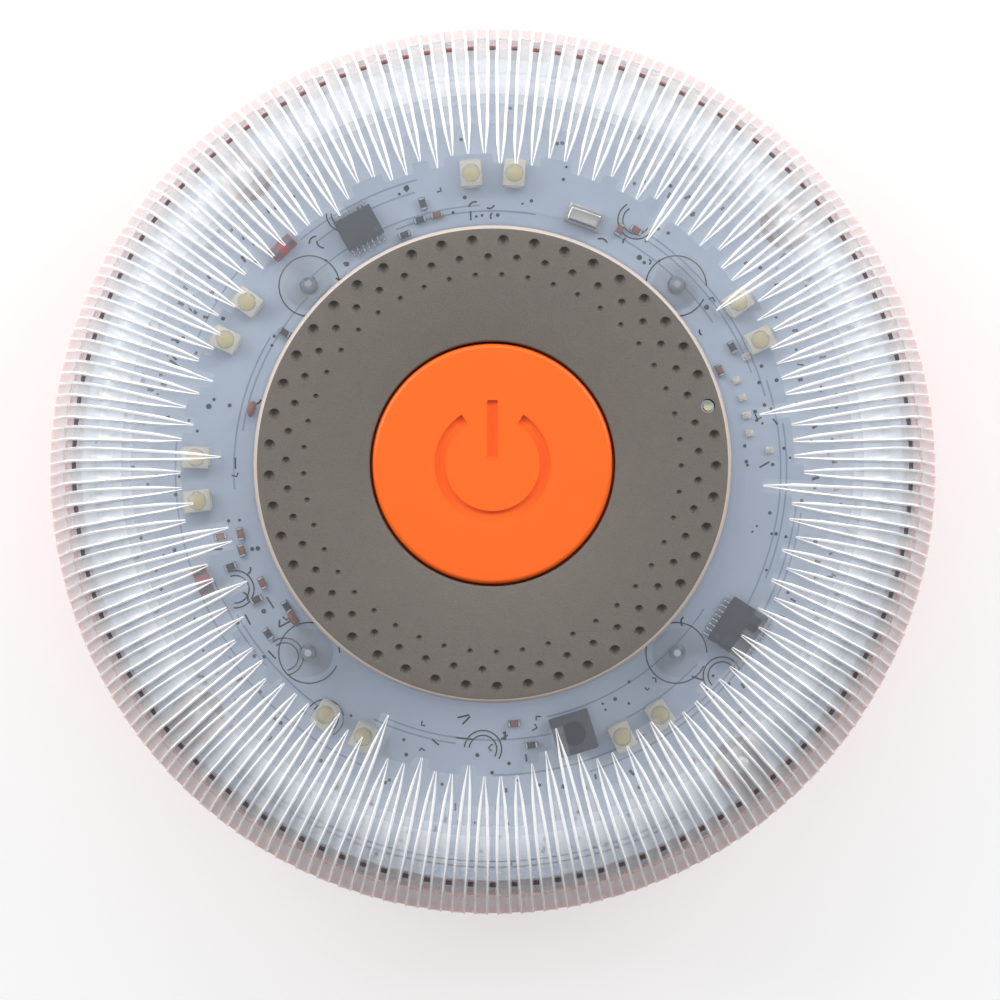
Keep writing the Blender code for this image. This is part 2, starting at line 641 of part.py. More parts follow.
def make_cradle():
    height = CRADLE_TOP - CRADLE_UNDERSIDE
    middle = (CRADLE_TOP + CRADLE_UNDERSIDE) / 2
    size = (2 * CRADLE_HALF_LENGTH, 2 * CRADLE_HALF_WIDTH, height)
    cradle = box("battery_cradle", size, (0, 0, middle), "black_plastic")
    ear_length = 2 * (CRADLE_HALF_LENGTH + CRADLE_EAR)
    ear_centre = (0, 0, CRADLE_UNDERSIDE + CRADLE_EAR_DEPTH / 2)
    join(cradle, box("cradle_ears", (ear_length, CRADLE_EAR_WIDTH, CRADLE_EAR_DEPTH), ear_centre))
    room = (2 * (CRADLE_HALF_LENGTH - CRADLE_WALL), 2 * (CRADLE_HALF_WIDTH - CRADLE_WALL), 2 * CRADLE_CEILING)
    cut(cradle, box("cradle_room", room, (0, 0, 0)))
    for number, side in enumerate((-1, 1), start=1):
        rib = (CRADLE_RIB[0], CRADLE_RIB[1], CRADLE_RIB[2] + OVERLAP)
        centre = (0, side * CELL_PITCH / 2, CRADLE_CEILING - (CRADLE_RIB[2] - OVERLAP) / 2)
        join(cradle, box(f"cradle_rib_{number}", rib, centre))
        place = (side * CRADLE_SCREW_X, 0)
        bore_radius = BOARD_SCREW_RADIUS + GAP
        bore = cylinder(f"ear_bore_{number}", bore_radius, 0, CRADLE_TOP, place, steps=PIN_STEPS)
        cut(cradle, bore)
    for x, y in (tab_place("minus"), tab_place("plus")):
        slot_size = (CONTACT_SHEET + 4 * GAP, CONTACT_TAB + 2 * GAP, 4 * CRADLE_WALL)
        cut(cradle, box(f"tab_slot_{x:.3f}", slot_size, (x, y, CRADLE_TOP)))


def contact_x(side):
    return side * (CONTACT_FACE + CONTACT_SHEET / 2)


def tab_place(pole):
    """Where the tab of the first cell's negative contact, or of the last cell's positive one, goes up."""
    number, side = (0, -cell_side(0)) if pole == "minus" else (2, cell_side(2))
    return contact_x(side), cell_y(number)


def make_contacts():
    size = (CONTACT_SHEET, CONTACT_WIDTH, CONTACT_HEIGHT)
    for pole in ("minus", "plus"):
        x, y = tab_place(pole)
        plate = box(f"contact_{pole}", size, (x, y, CELL_HEIGHT), "nickel_plate")
        tab_top = BOARD_UNDERSIDE - GAP
        tab = (CONTACT_SHEET, CONTACT_TAB, tab_top - CELL_HEIGHT)
        join(plate, box(f"tab_{pole}", tab, (x, y, (tab_top + CELL_HEIGHT) / 2)))
    wide = (CONTACT_SHEET, CONTACT_WIDTH + CELL_PITCH, CONTACT_HEIGHT)
    bridges = (("contact_bridge_1", 0, cell_side(0)), ("contact_bridge_2", 1, cell_side(1)))
    for name, first, side in bridges:
        y = (cell_y(first) + cell_y(first + 1)) / 2
        box(name, wide, (contact_x(side), y, CELL_HEIGHT), "nickel_plate")
    length = CELL_SPRING - GAP
    for number in range(3):
        side = -cell_side(number)
        name = f"contact_spring_{number + 1}"
        spring = coil(name, CELL_SPRING_RADII, CELL_SPRING_WIRE, length, CELL_SPRING_TURNS, "spring_steel")
        spring.rotation_euler.y = -side * math.pi / 2
        spring.location = (side * (CONTACT_FACE - GAP), cell_y(number), CELL_HEIGHT)


# Lens, plate and button


def lens_outline(inset):
    """The lens's section from beside the plate down to its lower edge, moved inwards by the inset."""
    top_corner = (LENS_RADIUS - LENS_WALL_DRAFT - inset, LENS_TOP - LENS_TOP_FALL - inset)
    start = (RECESS_RADIUS + inset, LENS_TOP - inset)
    end = (LENS_RADIUS - inset, LENS_UNDERSIDE)
    return [start, *rounded(start, top_corner, end, LENS_SHOULDER - inset, 5), end]


def make_lens():
    profile = [
        *lens_outline(0),
        *reversed(lens_outline(LENS_WALL)),
        (RECESS_RADIUS + LENS_WALL, LENS_FLOOR_UNDERSIDE),
        (LENS_HOLE, LENS_FLOOR_UNDERSIDE),
        (LENS_HOLE, RECESS_FLOOR),
        (RECESS_RADIUS, RECESS_FLOOR),
    ]
    lens = turned("lens_dome", profile, "clear_lens")
    boss_top = LENS_TOP - LENS_WALL / 2 - PLATE_BEVEL
    boss_foot = BOARD_TOP + GAP
    for number, angle in enumerate(BOARD_SCREW_ANGLES, start=1):
        place = polar(BOARD_SCREW_CIRCLE, angle)
        name = f"board_boss_{number}"
        join(lens, cylinder(name, BOARD_BOSS_RADIUS, boss_foot, boss_top, place, steps=BOSS_STEPS))
    for number, angle in enumerate(CASE_SCREW_ANGLES, start=1):
        place = polar(CASE_SCREW_CIRCLE, angle)
        top = LENS_TOP - CASE_BOSS_TOP
        name = f"case_boss_{number}"
        join(lens, cylinder(name, CASE_BOSS_RADIUS, CASE_BOSS_UNDERSIDE, top, place, steps=BOSS_STEPS))
        join(lens, case_boss_web(number, angle, top))
    bore_lens(lens)


def case_boss_web(number, angle, boss_top):
    """A web between a case screw's boss and the lens's wall. It stops inside the wall, which leans in."""
    top = boss_top - CASE_WEB_DROP
    outer = LENS_RADIUS - LENS_WALL_LEAN * (top - LENS_UNDERSIDE) - LENS_WALL / 2
    foot = BOARD_TOP + GAP
    size = (outer - CASE_SCREW_CIRCLE, LENS_WALL, top - foot)
    centre = polar((outer + CASE_SCREW_CIRCLE) / 2, angle, (top + foot) / 2)
    return box(f"case_web_{number}", size, centre, angle=angle)


def bore_lens(lens):
    for number, angle in enumerate(BOARD_SCREW_ANGLES, start=1):
        top = BOARD_TOP + BOARD_SCREW_REACH + GAP
        place = polar(BOARD_SCREW_CIRCLE, angle)
        bore = BOARD_SCREW_RADIUS + GAP
        cut(lens, cylinder(f"board_pilot_{number}", bore, BOARD_TOP, top, place, steps=PIN_STEPS))
    for number, angle in enumerate(CASE_SCREW_ANGLES, start=1):
        top = CASE_BOSS_UNDERSIDE + CASE_SCREW_REACH + GAP
        place = polar(CASE_SCREW_CIRCLE, angle)
        bore = CASE_SCREW_RADIUS + GAP
        foot = CASE_BOSS_UNDERSIDE - OVERLAP
        cut(lens, cylinder(f"case_pilot_{number}", bore, foot, top, place, steps=PIN_STEPS))


def make_cover_plate():
    hole = BUTTON_RADIUS + GAP
    hole_bevel = PLATE_BEVEL / 2
    profile = [
        (PLATE_RADIUS - PLATE_BEVEL, PLATE_TOP),
        (PLATE_RADIUS, PLATE_TOP - PLATE_BEVEL),
        (PLATE_RADIUS, PLATE_UNDERSIDE),
        (hole, PLATE_UNDERSIDE),
        (hole, PLATE_TOP - hole_bevel),
        (hole + hole_bevel, PLATE_TOP),
    ]
    plate = turned("cover_plate", profile, "grey_plate")
    distance, degrees = BOARD_BLOCKS["light_sensor"][:2]
    place = polar(distance, math.radians(degrees))
    hole_radius = PIPE_RADIUS + GAP
    cutter = cylinder("pipe_hole", hole_radius, RECESS_FLOOR, PLATE_TOP + OVERLAP, place, steps=PIN_STEPS)
    cut(plate, cutter)
    pipe_top = PLATE_TOP - PIPE_SUNK
    cylinder("light_pipe", PIPE_RADIUS, PLATE_UNDERSIDE, pipe_top, place, "clear_epoxy", PIN_STEPS)


def make_button():
    bevel = 0.5 * MM
    room = BUTTON_RADIUS - BUTTON_WALL
    profile = [
        (0, BUTTON_TOP),
        (BUTTON_RADIUS - bevel, BUTTON_TOP),
        (BUTTON_RADIUS, BUTTON_TOP - bevel),
        (BUTTON_RADIUS, BUTTON_LIP_TOP),
        (BUTTON_LIP_RADIUS, BUTTON_LIP_TOP),
        (BUTTON_LIP_RADIUS, BUTTON_LIP_UNDERSIDE),
        (room, BUTTON_LIP_UNDERSIDE),
        (room, BUTTON_CEILING),
        (STEM_RADIUS, BUTTON_CEILING),
        (STEM_RADIUS, STEM_UNDERSIDE),
        (0, STEM_UNDERSIDE),
    ]
    turned("button_cap", profile, "orange_button")


def make_button_guide():
    inner = BUTTON_LIP_RADIUS + GAP
    outer = inner + GUIDE_WALL
    rim = outer + GUIDE_RIM
    rim_underside = GUIDE_TOP - GUIDE_FLOOR
    floor_underside = GUIDE_SEAT - GUIDE_FLOOR
    bore = STEM_RADIUS + GAP
    groove = bore + 2 * SEAL_CORD + 0.15 * MM
    seal_z = GUIDE_UNDERSIDE + GUIDE_COLLAR / 2
    groove_half = SEAL_CORD + 0.15 * MM
    collar = groove + GUIDE_WALL
    profile = [
        (rim, GUIDE_TOP),
        (rim, rim_underside),
        (outer, rim_underside),
        (outer, floor_underside),
        (collar, floor_underside),
        (collar, GUIDE_UNDERSIDE),
        (bore, GUIDE_UNDERSIDE),
        (bore, seal_z - groove_half),
        (groove, seal_z - groove_half),
        (groove, seal_z + groove_half),
        (bore, seal_z + groove_half),
        (bore, GUIDE_SEAT),
        (inner, GUIDE_SEAT),
        (inner, GUIDE_TOP),
    ]
    turned("button_guide", profile, "black_plastic", SMALL_STEPS)
    circle = bore + SEAL_CORD + 0.05 * MM
    ring_cord("stem_seal", circle, SEAL_CORD, seal_z, "black_rubber", SMALL_STEPS)
    length = BUTTON_CEILING - GUIDE_SEAT - 2 * GAP
    radii = (SPRING_COIL, SPRING_COIL)
    spring = coil("return_spring", radii, SPRING_WIRE, length, SPRING_TURNS, "spring_steel")
    spring.location.z = GUIDE_SEAT + GAP


def make_switch():
    size = (SWITCH_SIDE, SWITCH_SIDE, SWITCH_HEIGHT)
    body = box("switch_body", size, (0, 0, (SWITCH_UNDERSIDE + SWITCH_TOP) / 2), "black_plastic")
    well = cylinder("switch_well", PLUNGER_RADIUS + GAP, SWITCH_WELL, SWITCH_TOP + OVERLAP, steps=PIN_STEPS)
    cut(body, well)
    heights = (PLUNGER_UNDERSIDE, PLUNGER_TOP)
    cylinder("switch_plunger", PLUNGER_RADIUS, *heights, slot="nickel_plate", steps=PIN_STEPS)


# Circuit board


def make_board():
    heights = (BOARD_UNDERSIDE, BOARD_TOP)
    board = cylinder("circuit_board", BOARD_RADIUS, *heights, slot="white_board", steps=FINE_STEPS)
    foot, top = BOARD_UNDERSIDE - OVERLAP, BOARD_TOP + OVERLAP
    for number, angle in enumerate(BOARD_SCREW_ANGLES, start=1):
        place = polar(BOARD_SCREW_CIRCLE, angle)
        hole = BOARD_SCREW_RADIUS + GAP
        cut(board, cylinder(f"board_hole_{number}", hole, foot, top, place, steps=PIN_STEPS))
    for number, angle in enumerate(CASE_SCREW_ANGLES, start=1):
        place = polar(CASE_SCREW_CIRCLE, angle)
        hole = CASE_BOSS_RADIUS + 2 * GAP
        cut(board, cylinder(f"board_notch_{number}", hole, foot, top, place, steps=BOSS_STEPS))
        reach = 2 * (BOARD_RADIUS - CASE_SCREW_CIRCLE + OVERLAP)
        size = (reach, 2 * hole * 0.8, 4 * BOARD_THICKNESS)
        centre = polar(BOARD_RADIUS + OVERLAP, angle, BOARD_UNDERSIDE)
        cut(board, box(f"board_mouth_{number}", size, centre, angle=angle))
    for name, (distance, degrees, block, slot) in BOARD_BLOCKS.items():
        angle = math.radians(degrees)
        centre = polar(distance, angle, BOARD_TOP + GAP + block[2] / 2)
        box(name, block, centre, slot, angle)


def make_leds():
    height = LED_BODY[2]
    led = box("led_1", LED_BODY, (0, 0, 0), "led_package")
    bm = bmesh.new()
    bmesh.ops.create_uvsphere(bm, u_segments=10, v_segments=6, radius=LED_DOME)
    dome = add("led_dome", mesh_from("led_dome", bm))
    dome.location.z = height / 2
    join(led, dome)
    places = []
    for middle in LED_PAIR_ANGLES:
        for angle in (middle - LED_PAIR_HALF, middle + LED_PAIR_HALF):
            places.append((polar(LED_CIRCLE, angle, BOARD_TOP + GAP + height / 2), angle))
    copies("led", led, places)


# Screws


def screw_profile(shank, head, head_depth, length):
    """A screw from the origin, at its head's inner face, with the shank up along Z and the head below."""
    tip = shank / 2
    return [
        (0, length),
        (tip, length),
        (shank, length - shank),
        (shank, 0),
        (head, 0),
        (head, -head_depth * 0.6),
        (head * 0.8, -head_depth),
        (0, -head_depth),
    ]


def make_screws():
    length = CASE_BOSS_UNDERSIDE + CASE_SCREW_REACH - BASE_UNDERSIDE - CASE_SCREW_HEAD_DEPTH - GAP
    profile = screw_profile(CASE_SCREW_RADIUS, CASE_SCREW_HEAD, CASE_SCREW_HEAD_DEPTH, length)
    seat = BASE_UNDERSIDE + CASE_SCREW_HEAD_DEPTH + GAP
    places = [(polar(CASE_SCREW_CIRCLE, angle, seat), angle) for angle in CASE_SCREW_ANGLES]
    copies("case_screw", turned("case_screw_1", profile, "zinc_screw", PIN_STEPS), places)

    length = BOARD_THICKNESS + BOARD_SCREW_REACH + GAP
    profile = screw_profile(BOARD_SCREW_RADIUS, BOARD_SCREW_HEAD, BOARD_SCREW_HEAD_DEPTH, length)
    seat = BOARD_UNDERSIDE - GAP
    places = [(polar(BOARD_SCREW_CIRCLE, angle, seat), angle) for angle in BOARD_SCREW_ANGLES]
    copies("board_screw", turned("board_screw_1", profile, "zinc_screw", PIN_STEPS), places)

    top = CRADLE_UNDERSIDE + CRADLE_EAR_DEPTH
    length = top - BASE_FLOOR_TOP
    profile = screw_profile(BOARD_SCREW_RADIUS, BOARD_SCREW_HEAD, BOARD_SCREW_HEAD_DEPTH, length)
    for number, side in enumerate((-1, 1), start=1):
        screw = turned(f"cradle_screw_{number}", profile, "zinc_screw", PIN_STEPS)
        screw.rotation_euler.x = math.pi
        screw.location = (side * CRADLE_SCREW_X, 0, top + GAP)


def main():
    make_base()
    make_foot_ring()
    make_rim_gasket()
    make_battery_door()
    make_door_seal()
    make_magnet()
    make_cells()
    make_cradle()
    make_contacts()
    make_lens()
    make_cover_plate()
    make_button()
    make_button_guide()
    make_switch()
    make_board()
    make_leds()
    make_screws()
    settle()


clear_scene()
PARTS = new_collection("led_safety_flare")
HELPERS = new_collection("helpers")
main()
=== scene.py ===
"""Looks of the LED road beacon: ribbed clear lens, grey cover, orange button and base, and its board."""
import json
import math
import random

import bpy
import bmesh
from mathutils import Matrix, Vector


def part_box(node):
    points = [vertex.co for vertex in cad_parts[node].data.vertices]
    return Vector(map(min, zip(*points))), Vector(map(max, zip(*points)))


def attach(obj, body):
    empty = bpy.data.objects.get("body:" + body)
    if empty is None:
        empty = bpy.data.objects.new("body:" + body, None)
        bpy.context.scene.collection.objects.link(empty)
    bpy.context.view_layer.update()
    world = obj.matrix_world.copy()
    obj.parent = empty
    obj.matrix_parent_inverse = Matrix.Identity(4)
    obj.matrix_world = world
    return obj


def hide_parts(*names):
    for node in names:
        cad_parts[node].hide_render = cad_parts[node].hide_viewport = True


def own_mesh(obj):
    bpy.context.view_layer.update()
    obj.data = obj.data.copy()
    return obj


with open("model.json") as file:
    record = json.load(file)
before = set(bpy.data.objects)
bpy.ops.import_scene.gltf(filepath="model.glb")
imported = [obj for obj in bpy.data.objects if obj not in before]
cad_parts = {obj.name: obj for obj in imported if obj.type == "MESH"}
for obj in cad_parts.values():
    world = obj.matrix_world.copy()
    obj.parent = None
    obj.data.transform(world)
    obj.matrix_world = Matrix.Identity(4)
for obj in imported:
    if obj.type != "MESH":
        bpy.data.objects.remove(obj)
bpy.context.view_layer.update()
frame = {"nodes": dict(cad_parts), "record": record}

MM = 0.001
RNG = random.Random(7)

# Sizes taken from the frame
LENS_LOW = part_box("lens_dome")[0].z
LENS_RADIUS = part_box("lens_dome")[1].x
LENS_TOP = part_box("lens_dome")[1].z
PLATE_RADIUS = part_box("cover_plate")[1].x
PLATE_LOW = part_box("cover_plate")[0].z
PLATE_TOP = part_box("cover_plate")[1].z
BUTTON_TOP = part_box("button_cap")[1].z
BUTTON_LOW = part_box("button_cap")[0].z
BOARD_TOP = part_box("circuit_board")[1].z
BASE_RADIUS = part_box("base_shell")[1].x
BASE_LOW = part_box("base_shell")[0].z
BASE_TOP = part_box("base_shell")[1].z

# Lens
GAP = 0.3 * MM
LENS_WALL = 1.8 * MM
LENS_FALL = 2.4 * MM  # how far the top face falls towards the shoulder
LENS_DRAFT = 4.1 * MM  # how far the side wall leans in
LENS_SHOULDER = 8.5 * MM
RECESS_RADIUS = PLATE_RADIUS + GAP
RECESS_FLOOR = PLATE_LOW - GAP
LENS_HOLE = 16.05 * MM
RIBS = 120
RIB_TIP = 35.6 * MM  # where most ribs begin, from the axis
RIB_LONG_TIP = 32.4 * MM  # where the few long ones begin
RIB_FULL = 49.0 * MM  # from here outwards a rib has its full width
RIB_HALF = 0.60 * MM
RIB_EDGE = 0.18 * MM
RIB_DEPTH = 0.50 * MM
RIB_FOOT_SHARE = 0.4  # of that depth, left at the lower edge
MILK_START = 38.5 * MM  # from here outwards ribs and flutes grow milky, in steps
MILK_STEP = 2.0 * MM
PEEP = (50.5 * MM, 51.3 * MM)  # a clear spot in each flute, over the gap round the board

# Cover plate and button
PLATE_BEVEL = 0.6 * MM
PLATE_HOLE = 14.65 * MM
BUTTON_RADIUS = 14.35 * MM
DIMPLES = 45
DIMPLE_RINGS = ((26.75 * MM, 0.70 * MM, 0.0), (24.7 * MM, 0.52 * MM, 0.5), (22.6 * MM, 0.37 * MM, 0.0))
DIMPLE_START = math.radians(95.2)
PIPE_PLACE = (26.7 * MM, math.radians(15))
SYMBOL_RADIUS = 6.3 * MM
SYMBOL_STROKE = 1.25 * MM
SYMBOL_DEPTH = 0.45 * MM


def linear(red, green, blue):
    """A colour given as it shows on a screen, 0 to 255, turned into Blender's linear values."""
    out = []
    for value in (red, green, blue):
        value = value / 255
        out.append(value / 12.92 if value <= 0.04045 else ((value + 0.055) / 1.055) ** 2.4)
    return (*out, 1.0)


def polar(distance, angle, height=0.0):
    return Vector((distance * math.cos(angle), distance * math.sin(angle), height))


# ---------------------------------------------------------------- materials


def finish(
    name, colour, rough, metal=0.0, vary=0.06, grain=900.0, bump=0.05, spots=None, stretch=None, **sockets
):
    """A Principled material: two noises vary its colour and roughness, and a fine one gives it its grain."""
    material = bpy.data.materials.new(name)
    material.use_nodes = True
    nodes, links = material.node_tree.nodes, material.node_tree.links
    shader = nodes["Principled BSDF"]
    shader.inputs["Metallic"].default_value = metal
    for socket, value in sockets.items():
        shader.inputs[socket.replace("_", " ")].default_value = value
    where = nodes.new("ShaderNodeTexCoord")
    place = nodes.new("ShaderNodeMapping")
    place.inputs["Scale"].default_value = stretch or (1, 1, 1)
    links.new(where.outputs["Object"], place.inputs["Vector"])
    broad = nodes.new("ShaderNodeTexNoise")
    broad.inputs["Scale"].default_value = grain / 12
    broad.inputs["Detail"].default_value = 4
    fine = nodes.new("ShaderNodeTexNoise")
    fine.inputs["Scale"].default_value = grain
    fine.inputs["Detail"].default_value = 3
    links.new(place.outputs["Vector"], broad.inputs["Vector"])
    links.new(place.outputs["Vector"], fine.inputs["Vector"])
    tint = nodes.new("ShaderNodeMix")
    tint.data_type = "RGBA"
    tint.inputs["A"].default_value = [min(1, c * (1 - vary)) for c in colour[:3]] + [1]
    tint.inputs["B"].default_value = [min(1, c * (1 + vary)) for c in colour[:3]] + [1]
    links.new(broad.outputs["Fac"], tint.inputs["Factor"])
    shade = tint.outputs["Result"]
    if spots:
        spot_colour, spot_scale, spot_size = spots
        cells = nodes.new("ShaderNodeTexVoronoi")
        cells.inputs["Scale"].default_value = spot_scale
        edge = nodes.new("ShaderNodeMapRange")
        edge.inputs["From Min"].default_value = spot_size * 0.7
        edge.inputs["From Max"].default_value = spot_size
        edge.inputs["To Min"].default_value = 1
        edge.inputs["To Max"].default_value = 0
        speck = nodes.new("ShaderNodeMix")
        speck.data_type = "RGBA"
        speck.inputs["B"].default_value = spot_colour
        links.new(place.outputs["Vector"], cells.inputs["Vector"])
        links.new(cells.outputs["Distance"], edge.inputs["Value"])
        links.new(edge.outputs["Result"], speck.inputs["Factor"])
        links.new(shade, speck.inputs["A"])
        shade = speck.outputs["Result"]
    links.new(shade, shader.inputs["Base Color"])
    gloss = nodes.new("ShaderNodeMapRange")
    gloss.inputs["To Min"].default_value = max(0.02, rough - 0.07)
    gloss.inputs["To Max"].default_value = min(1.0, rough + 0.07)
    links.new(fine.outputs["Fac"], gloss.inputs["Value"])
    links.new(gloss.outputs["Result"], shader.inputs["Roughness"])
    relief = nodes.new("ShaderNodeBump")
    relief.inputs["Strength"].default_value = bump
    relief.inputs["Distance"].default_value = 0.1 * MM
    links.new(fine.outputs["Fac"], relief.inputs["Height"])
    links.new(relief.outputs["Normal"], shader.inputs["Normal"])
    return material


LOOKS = {
    "orange_abs": finish("orange_abs", linear(236, 92, 14), 0.42, grain=2600, bump=0.25, vary=0.05),
    "orange_button": finish("orange_button", linear(250, 100, 4), 0.40, grain=2600, bump=0.14, vary=0.03),
    "grey_plate": finish(
        "grey_plate", linear(104, 98, 92), 0.62, grain=5200, bump=0.5, vary=0.07,
        spots=(linear(88, 83, 78), 4200, 0.26),
    ),
    "white_board": finish(
        "white_board", linear(196, 210, 230), 0.38, grain=500, bump=0.03, vary=0.03, Coat_Weight=0.3
    ),
    "black_plastic": finish("black_plastic", linear(34, 34, 36), 0.5, grain=2400, bump=0.2),
    "black_rubber": finish("black_rubber", linear(30, 30, 31), 0.82, grain=3000, bump=0.4, vary=0.15),
    "silicone": finish("silicone", linear(172, 172, 174), 0.6, grain=1800, bump=0.15),
    "spring_steel": finish("spring_steel", linear(200, 200, 204), 0.26, 1.0, grain=2000, bump=0.1),
    "nickel_plate": finish("nickel_plate", linear(214, 211, 204), 0.3, 1.0, grain=5000, bump=0.05),
    "zinc_screw": finish("zinc_screw", linear(198, 198, 204), 0.32, 1.0, grain=2400, bump=0.2),
    "magnet_metal": finish(
        "magnet_metal", linear(182, 182, 188), 0.25, 1.0, grain=900, bump=0.3, stretch=(1, 14, 1)
    ),
    "cell_jacket": finish("cell_jacket", linear(52, 58, 70), 0.34, grain=700, bump=0.06, vary=0.2),
    "black_epoxy": finish("black_epoxy", linear(32, 32, 34), 0.45, grain=4200, bump=0.35, vary=0.2),
    "ferrite": finish("ferrite", linear(62, 60, 60), 0.62, grain=3600, bump=0.5, vary=0.25),
    "red_epoxy": finish("red_epoxy", linear(176, 38, 18), 0.38, grain=2600, bump=0.15, vary=0.15),
    "clear_epoxy": finish("clear_epoxy", linear(238, 232, 190), 0.16, grain=900, bump=0.03, Alpha=0.75),
    "led_package": finish("led_package", linear(238, 232, 214), 0.28, grain=1800, bump=0.05, vary=0.03),
    "clear_lens": finish(
        "clear_lens", linear(214, 224, 238), 0.10, grain=260, bump=0.05, vary=0.02, Alpha=0.09
    ),
}
LENS_BANDS = [
    finish(
        f"lens_rib_{k + 1}", linear(242, 243, 246), 0.26, grain=1500, bump=0.2, vary=0.05, Alpha=alpha,
        Specular_IOR_Level=0.8
    )
    for k, alpha in enumerate((0.22, 0.32, 0.43, 0.55))
]
LENS_FLUTES = [
    finish(
        f"lens_flute_{k + 1}", linear(230, 234, 241), 0.2, grain=1500, bump=0.15, vary=0.06, Alpha=alpha,
        Specular_IOR_Level=0.8
    )
    for k, alpha in enumerate((0.16, 0.25, 0.35, 0.45))
]
# Near-opaque white on the rib edges is a painted glint, standing in for the lamps' highlights along each rib.
LENS_EDGE_GLINT = finish(
    "lens_rib_edge_painted_glint", linear(254, 254, 254), 0.16, grain=900, bump=0.05, vary=0.01, Alpha=0.96,
    Specular_IOR_Level=1.0
)
LENS_SKIRT = finish("lens_skirt", linear(238, 226, 227), 0.34, grain=1300, bump=0.2, vary=0.05, Alpha=0.72)
LENS_INSIDE = finish("lens_inside", linear(230, 236, 244), 0.08, grain=300, bump=0.03, vary=0.02, Alpha=0.05)
# Paler than the grey plate: a painted highlight along the plate's rounded outer rim.
PLATE_RIM_HIGHLIGHT = finish("plate_rim_painted_highlight", linear(196, 182, 172), 0.42, grain=2600, bump=0.2, vary=0.05)
BLACK_INK = finish("black_ink", linear(30, 34, 42), 0.7, grain=5200, bump=0.3, vary=0.3)
COPPER_MARK = finish("copper_mark", linear(150, 168, 192), 0.4, grain=1800, bump=0.1, vary=0.08)
PHOSPHOR = finish("phosphor", linear(248, 226, 120), 0.55, grain=5200, bump=0.2, vary=0.06)
CLEAR_DOME = finish("clear_dome", linear(250, 250, 246), 0.06, grain=500, bump=0.02, vary=0.01, Alpha=0.3)
BROWN_DISC = finish("brown_disc", linear(158, 84, 40), 0.45, grain=2200, bump=0.25, vary=0.2)
SOLDER = finish("solder", linear(206, 208, 212), 0.3, 1.0, grain=3200, bump=0.3)


# ---------------------------------------------------------------- mesh helpers


def piece(name, bm, body, slot, *materials, smooth=True, sharp=30):
    """Makes the object of a finished bmesh, shades it, and lets it ride on its body."""
    bmesh.ops.recalc_face_normals(bm, faces=bm.faces)
    mesh = bpy.data.meshes.new(name)
    bm.to_mesh(mesh)
    bm.free()
    obj = bpy.data.objects.new(name, mesh)
    bpy.context.scene.collection.objects.link(obj)
    for material in materials or (LOOKS[slot],):
        mesh.materials.append(material)
    if smooth:
        mesh.shade_smooth()
        mesh.set_sharp_from_angle(angle=math.radians(sharp))
    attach(obj, body)
    return obj


def turned(bm, profile, steps=192, material=0, centre=(0, 0), closed=True):
    """Turns a profile of (radius, height) points about the axis. A point at radius 0 becomes one vertex."""
    rings = []
    for radius, height in profile:
        if radius < 1e-7:
            rings.append([bm.verts.new((centre[0], centre[1], height))])
            continue
        ring = []
        for step in range(steps):
            angle = 2 * math.pi * step / steps
            ring.append(
                bm.verts.new(
                    (centre[0] + radius * math.cos(angle), centre[1] + radius * math.sin(angle), height)
                )
            )
        rings.append(ring)
    pairs = list(zip(rings, rings[1:]))
    if closed:
        pairs.append((rings[-1], rings[0]))
    for low, high in pairs:
        if len(low) == 1 and len(high) == 1:
            continue
        for step in range(steps):
            after = (step + 1) % steps
            corners = [low[0]] if len(low) == 1 else [low[step], low[after]]
            corners += [high[0]] if len(high) == 1 else [high[after], high[step]]
            bm.faces.new(corners).material_index = material


def block(bm, size, place, bevel=0.0, material=0, segments=2):
    """A box with rounded edges; place is the matrix of its centre."""
    made = bmesh.ops.create_cube(bm, size=1.0, matrix=place @ Matrix.Diagonal((*size, 1)))
    for vert in made["verts"]:
        for face in vert.link_faces:
            face.material_index = material
    if bevel:
        edges = {edge for vert in made["verts"] for edge in vert.link_edges}
        bmesh.ops.bevel(bm, geom=list(edges), offset=bevel, segments=segments, affect="EDGES", profile=0.5)


def disc(bm, radius, bottom, top, place, material=0, steps=20, edge=0.0):
    profile = [(0, bottom), (radius, bottom), (radius, top - edge), (radius - edge, top), (0, top)]
    if not edge:
        profile.pop(3)
    turned(bm, profile, steps, material, place, closed=False)


def ribbon(bm, points, width, bottom, top, material=0):
    """A flat stroke along the points, as one closed solid."""
    rows = []
    for index, point in enumerate(points):
        before = points[max(index - 1, 0)]
        after = points[min(index + 1, len(points) - 1)]
        along = Vector((after[0] - before[0], after[1] - before[1])).normalized()
        side = Vector((-along.y, along.x)) * (width / 2)
        corners = ((1, bottom), (-1, bottom), (-1, top), (1, top))
        rows.append([bm.verts.new((point[0] + side.x * s, point[1] + side.y * s, z)) for s, z in corners])
    for first, second in zip(rows, rows[1:]):
        for k in range(4):
            bm.faces.new(
                (first[k], first[(k + 1) % 4], second[(k + 1) % 4], second[k])
            ).material_index = material
    bm.faces.new(rows[0][::-1]).material_index = material
    bm.faces.new(rows[-1]).material_index = material


def arc(centre, radius, start, end, steps=16):
    spread = (end - start) / steps
    return [Vector(centre[:2]) + polar(radius, start + spread * k).xy for k in range(steps + 1)]


def standing(distance, angle, height, turn=0.0):
    """The matrix of a piece on the board, its own X pointing outwards, turned by turn."""
    return Matrix.Translation(polar(distance, angle, height)) @ Matrix.Rotation(angle + turn, 4, "Z")


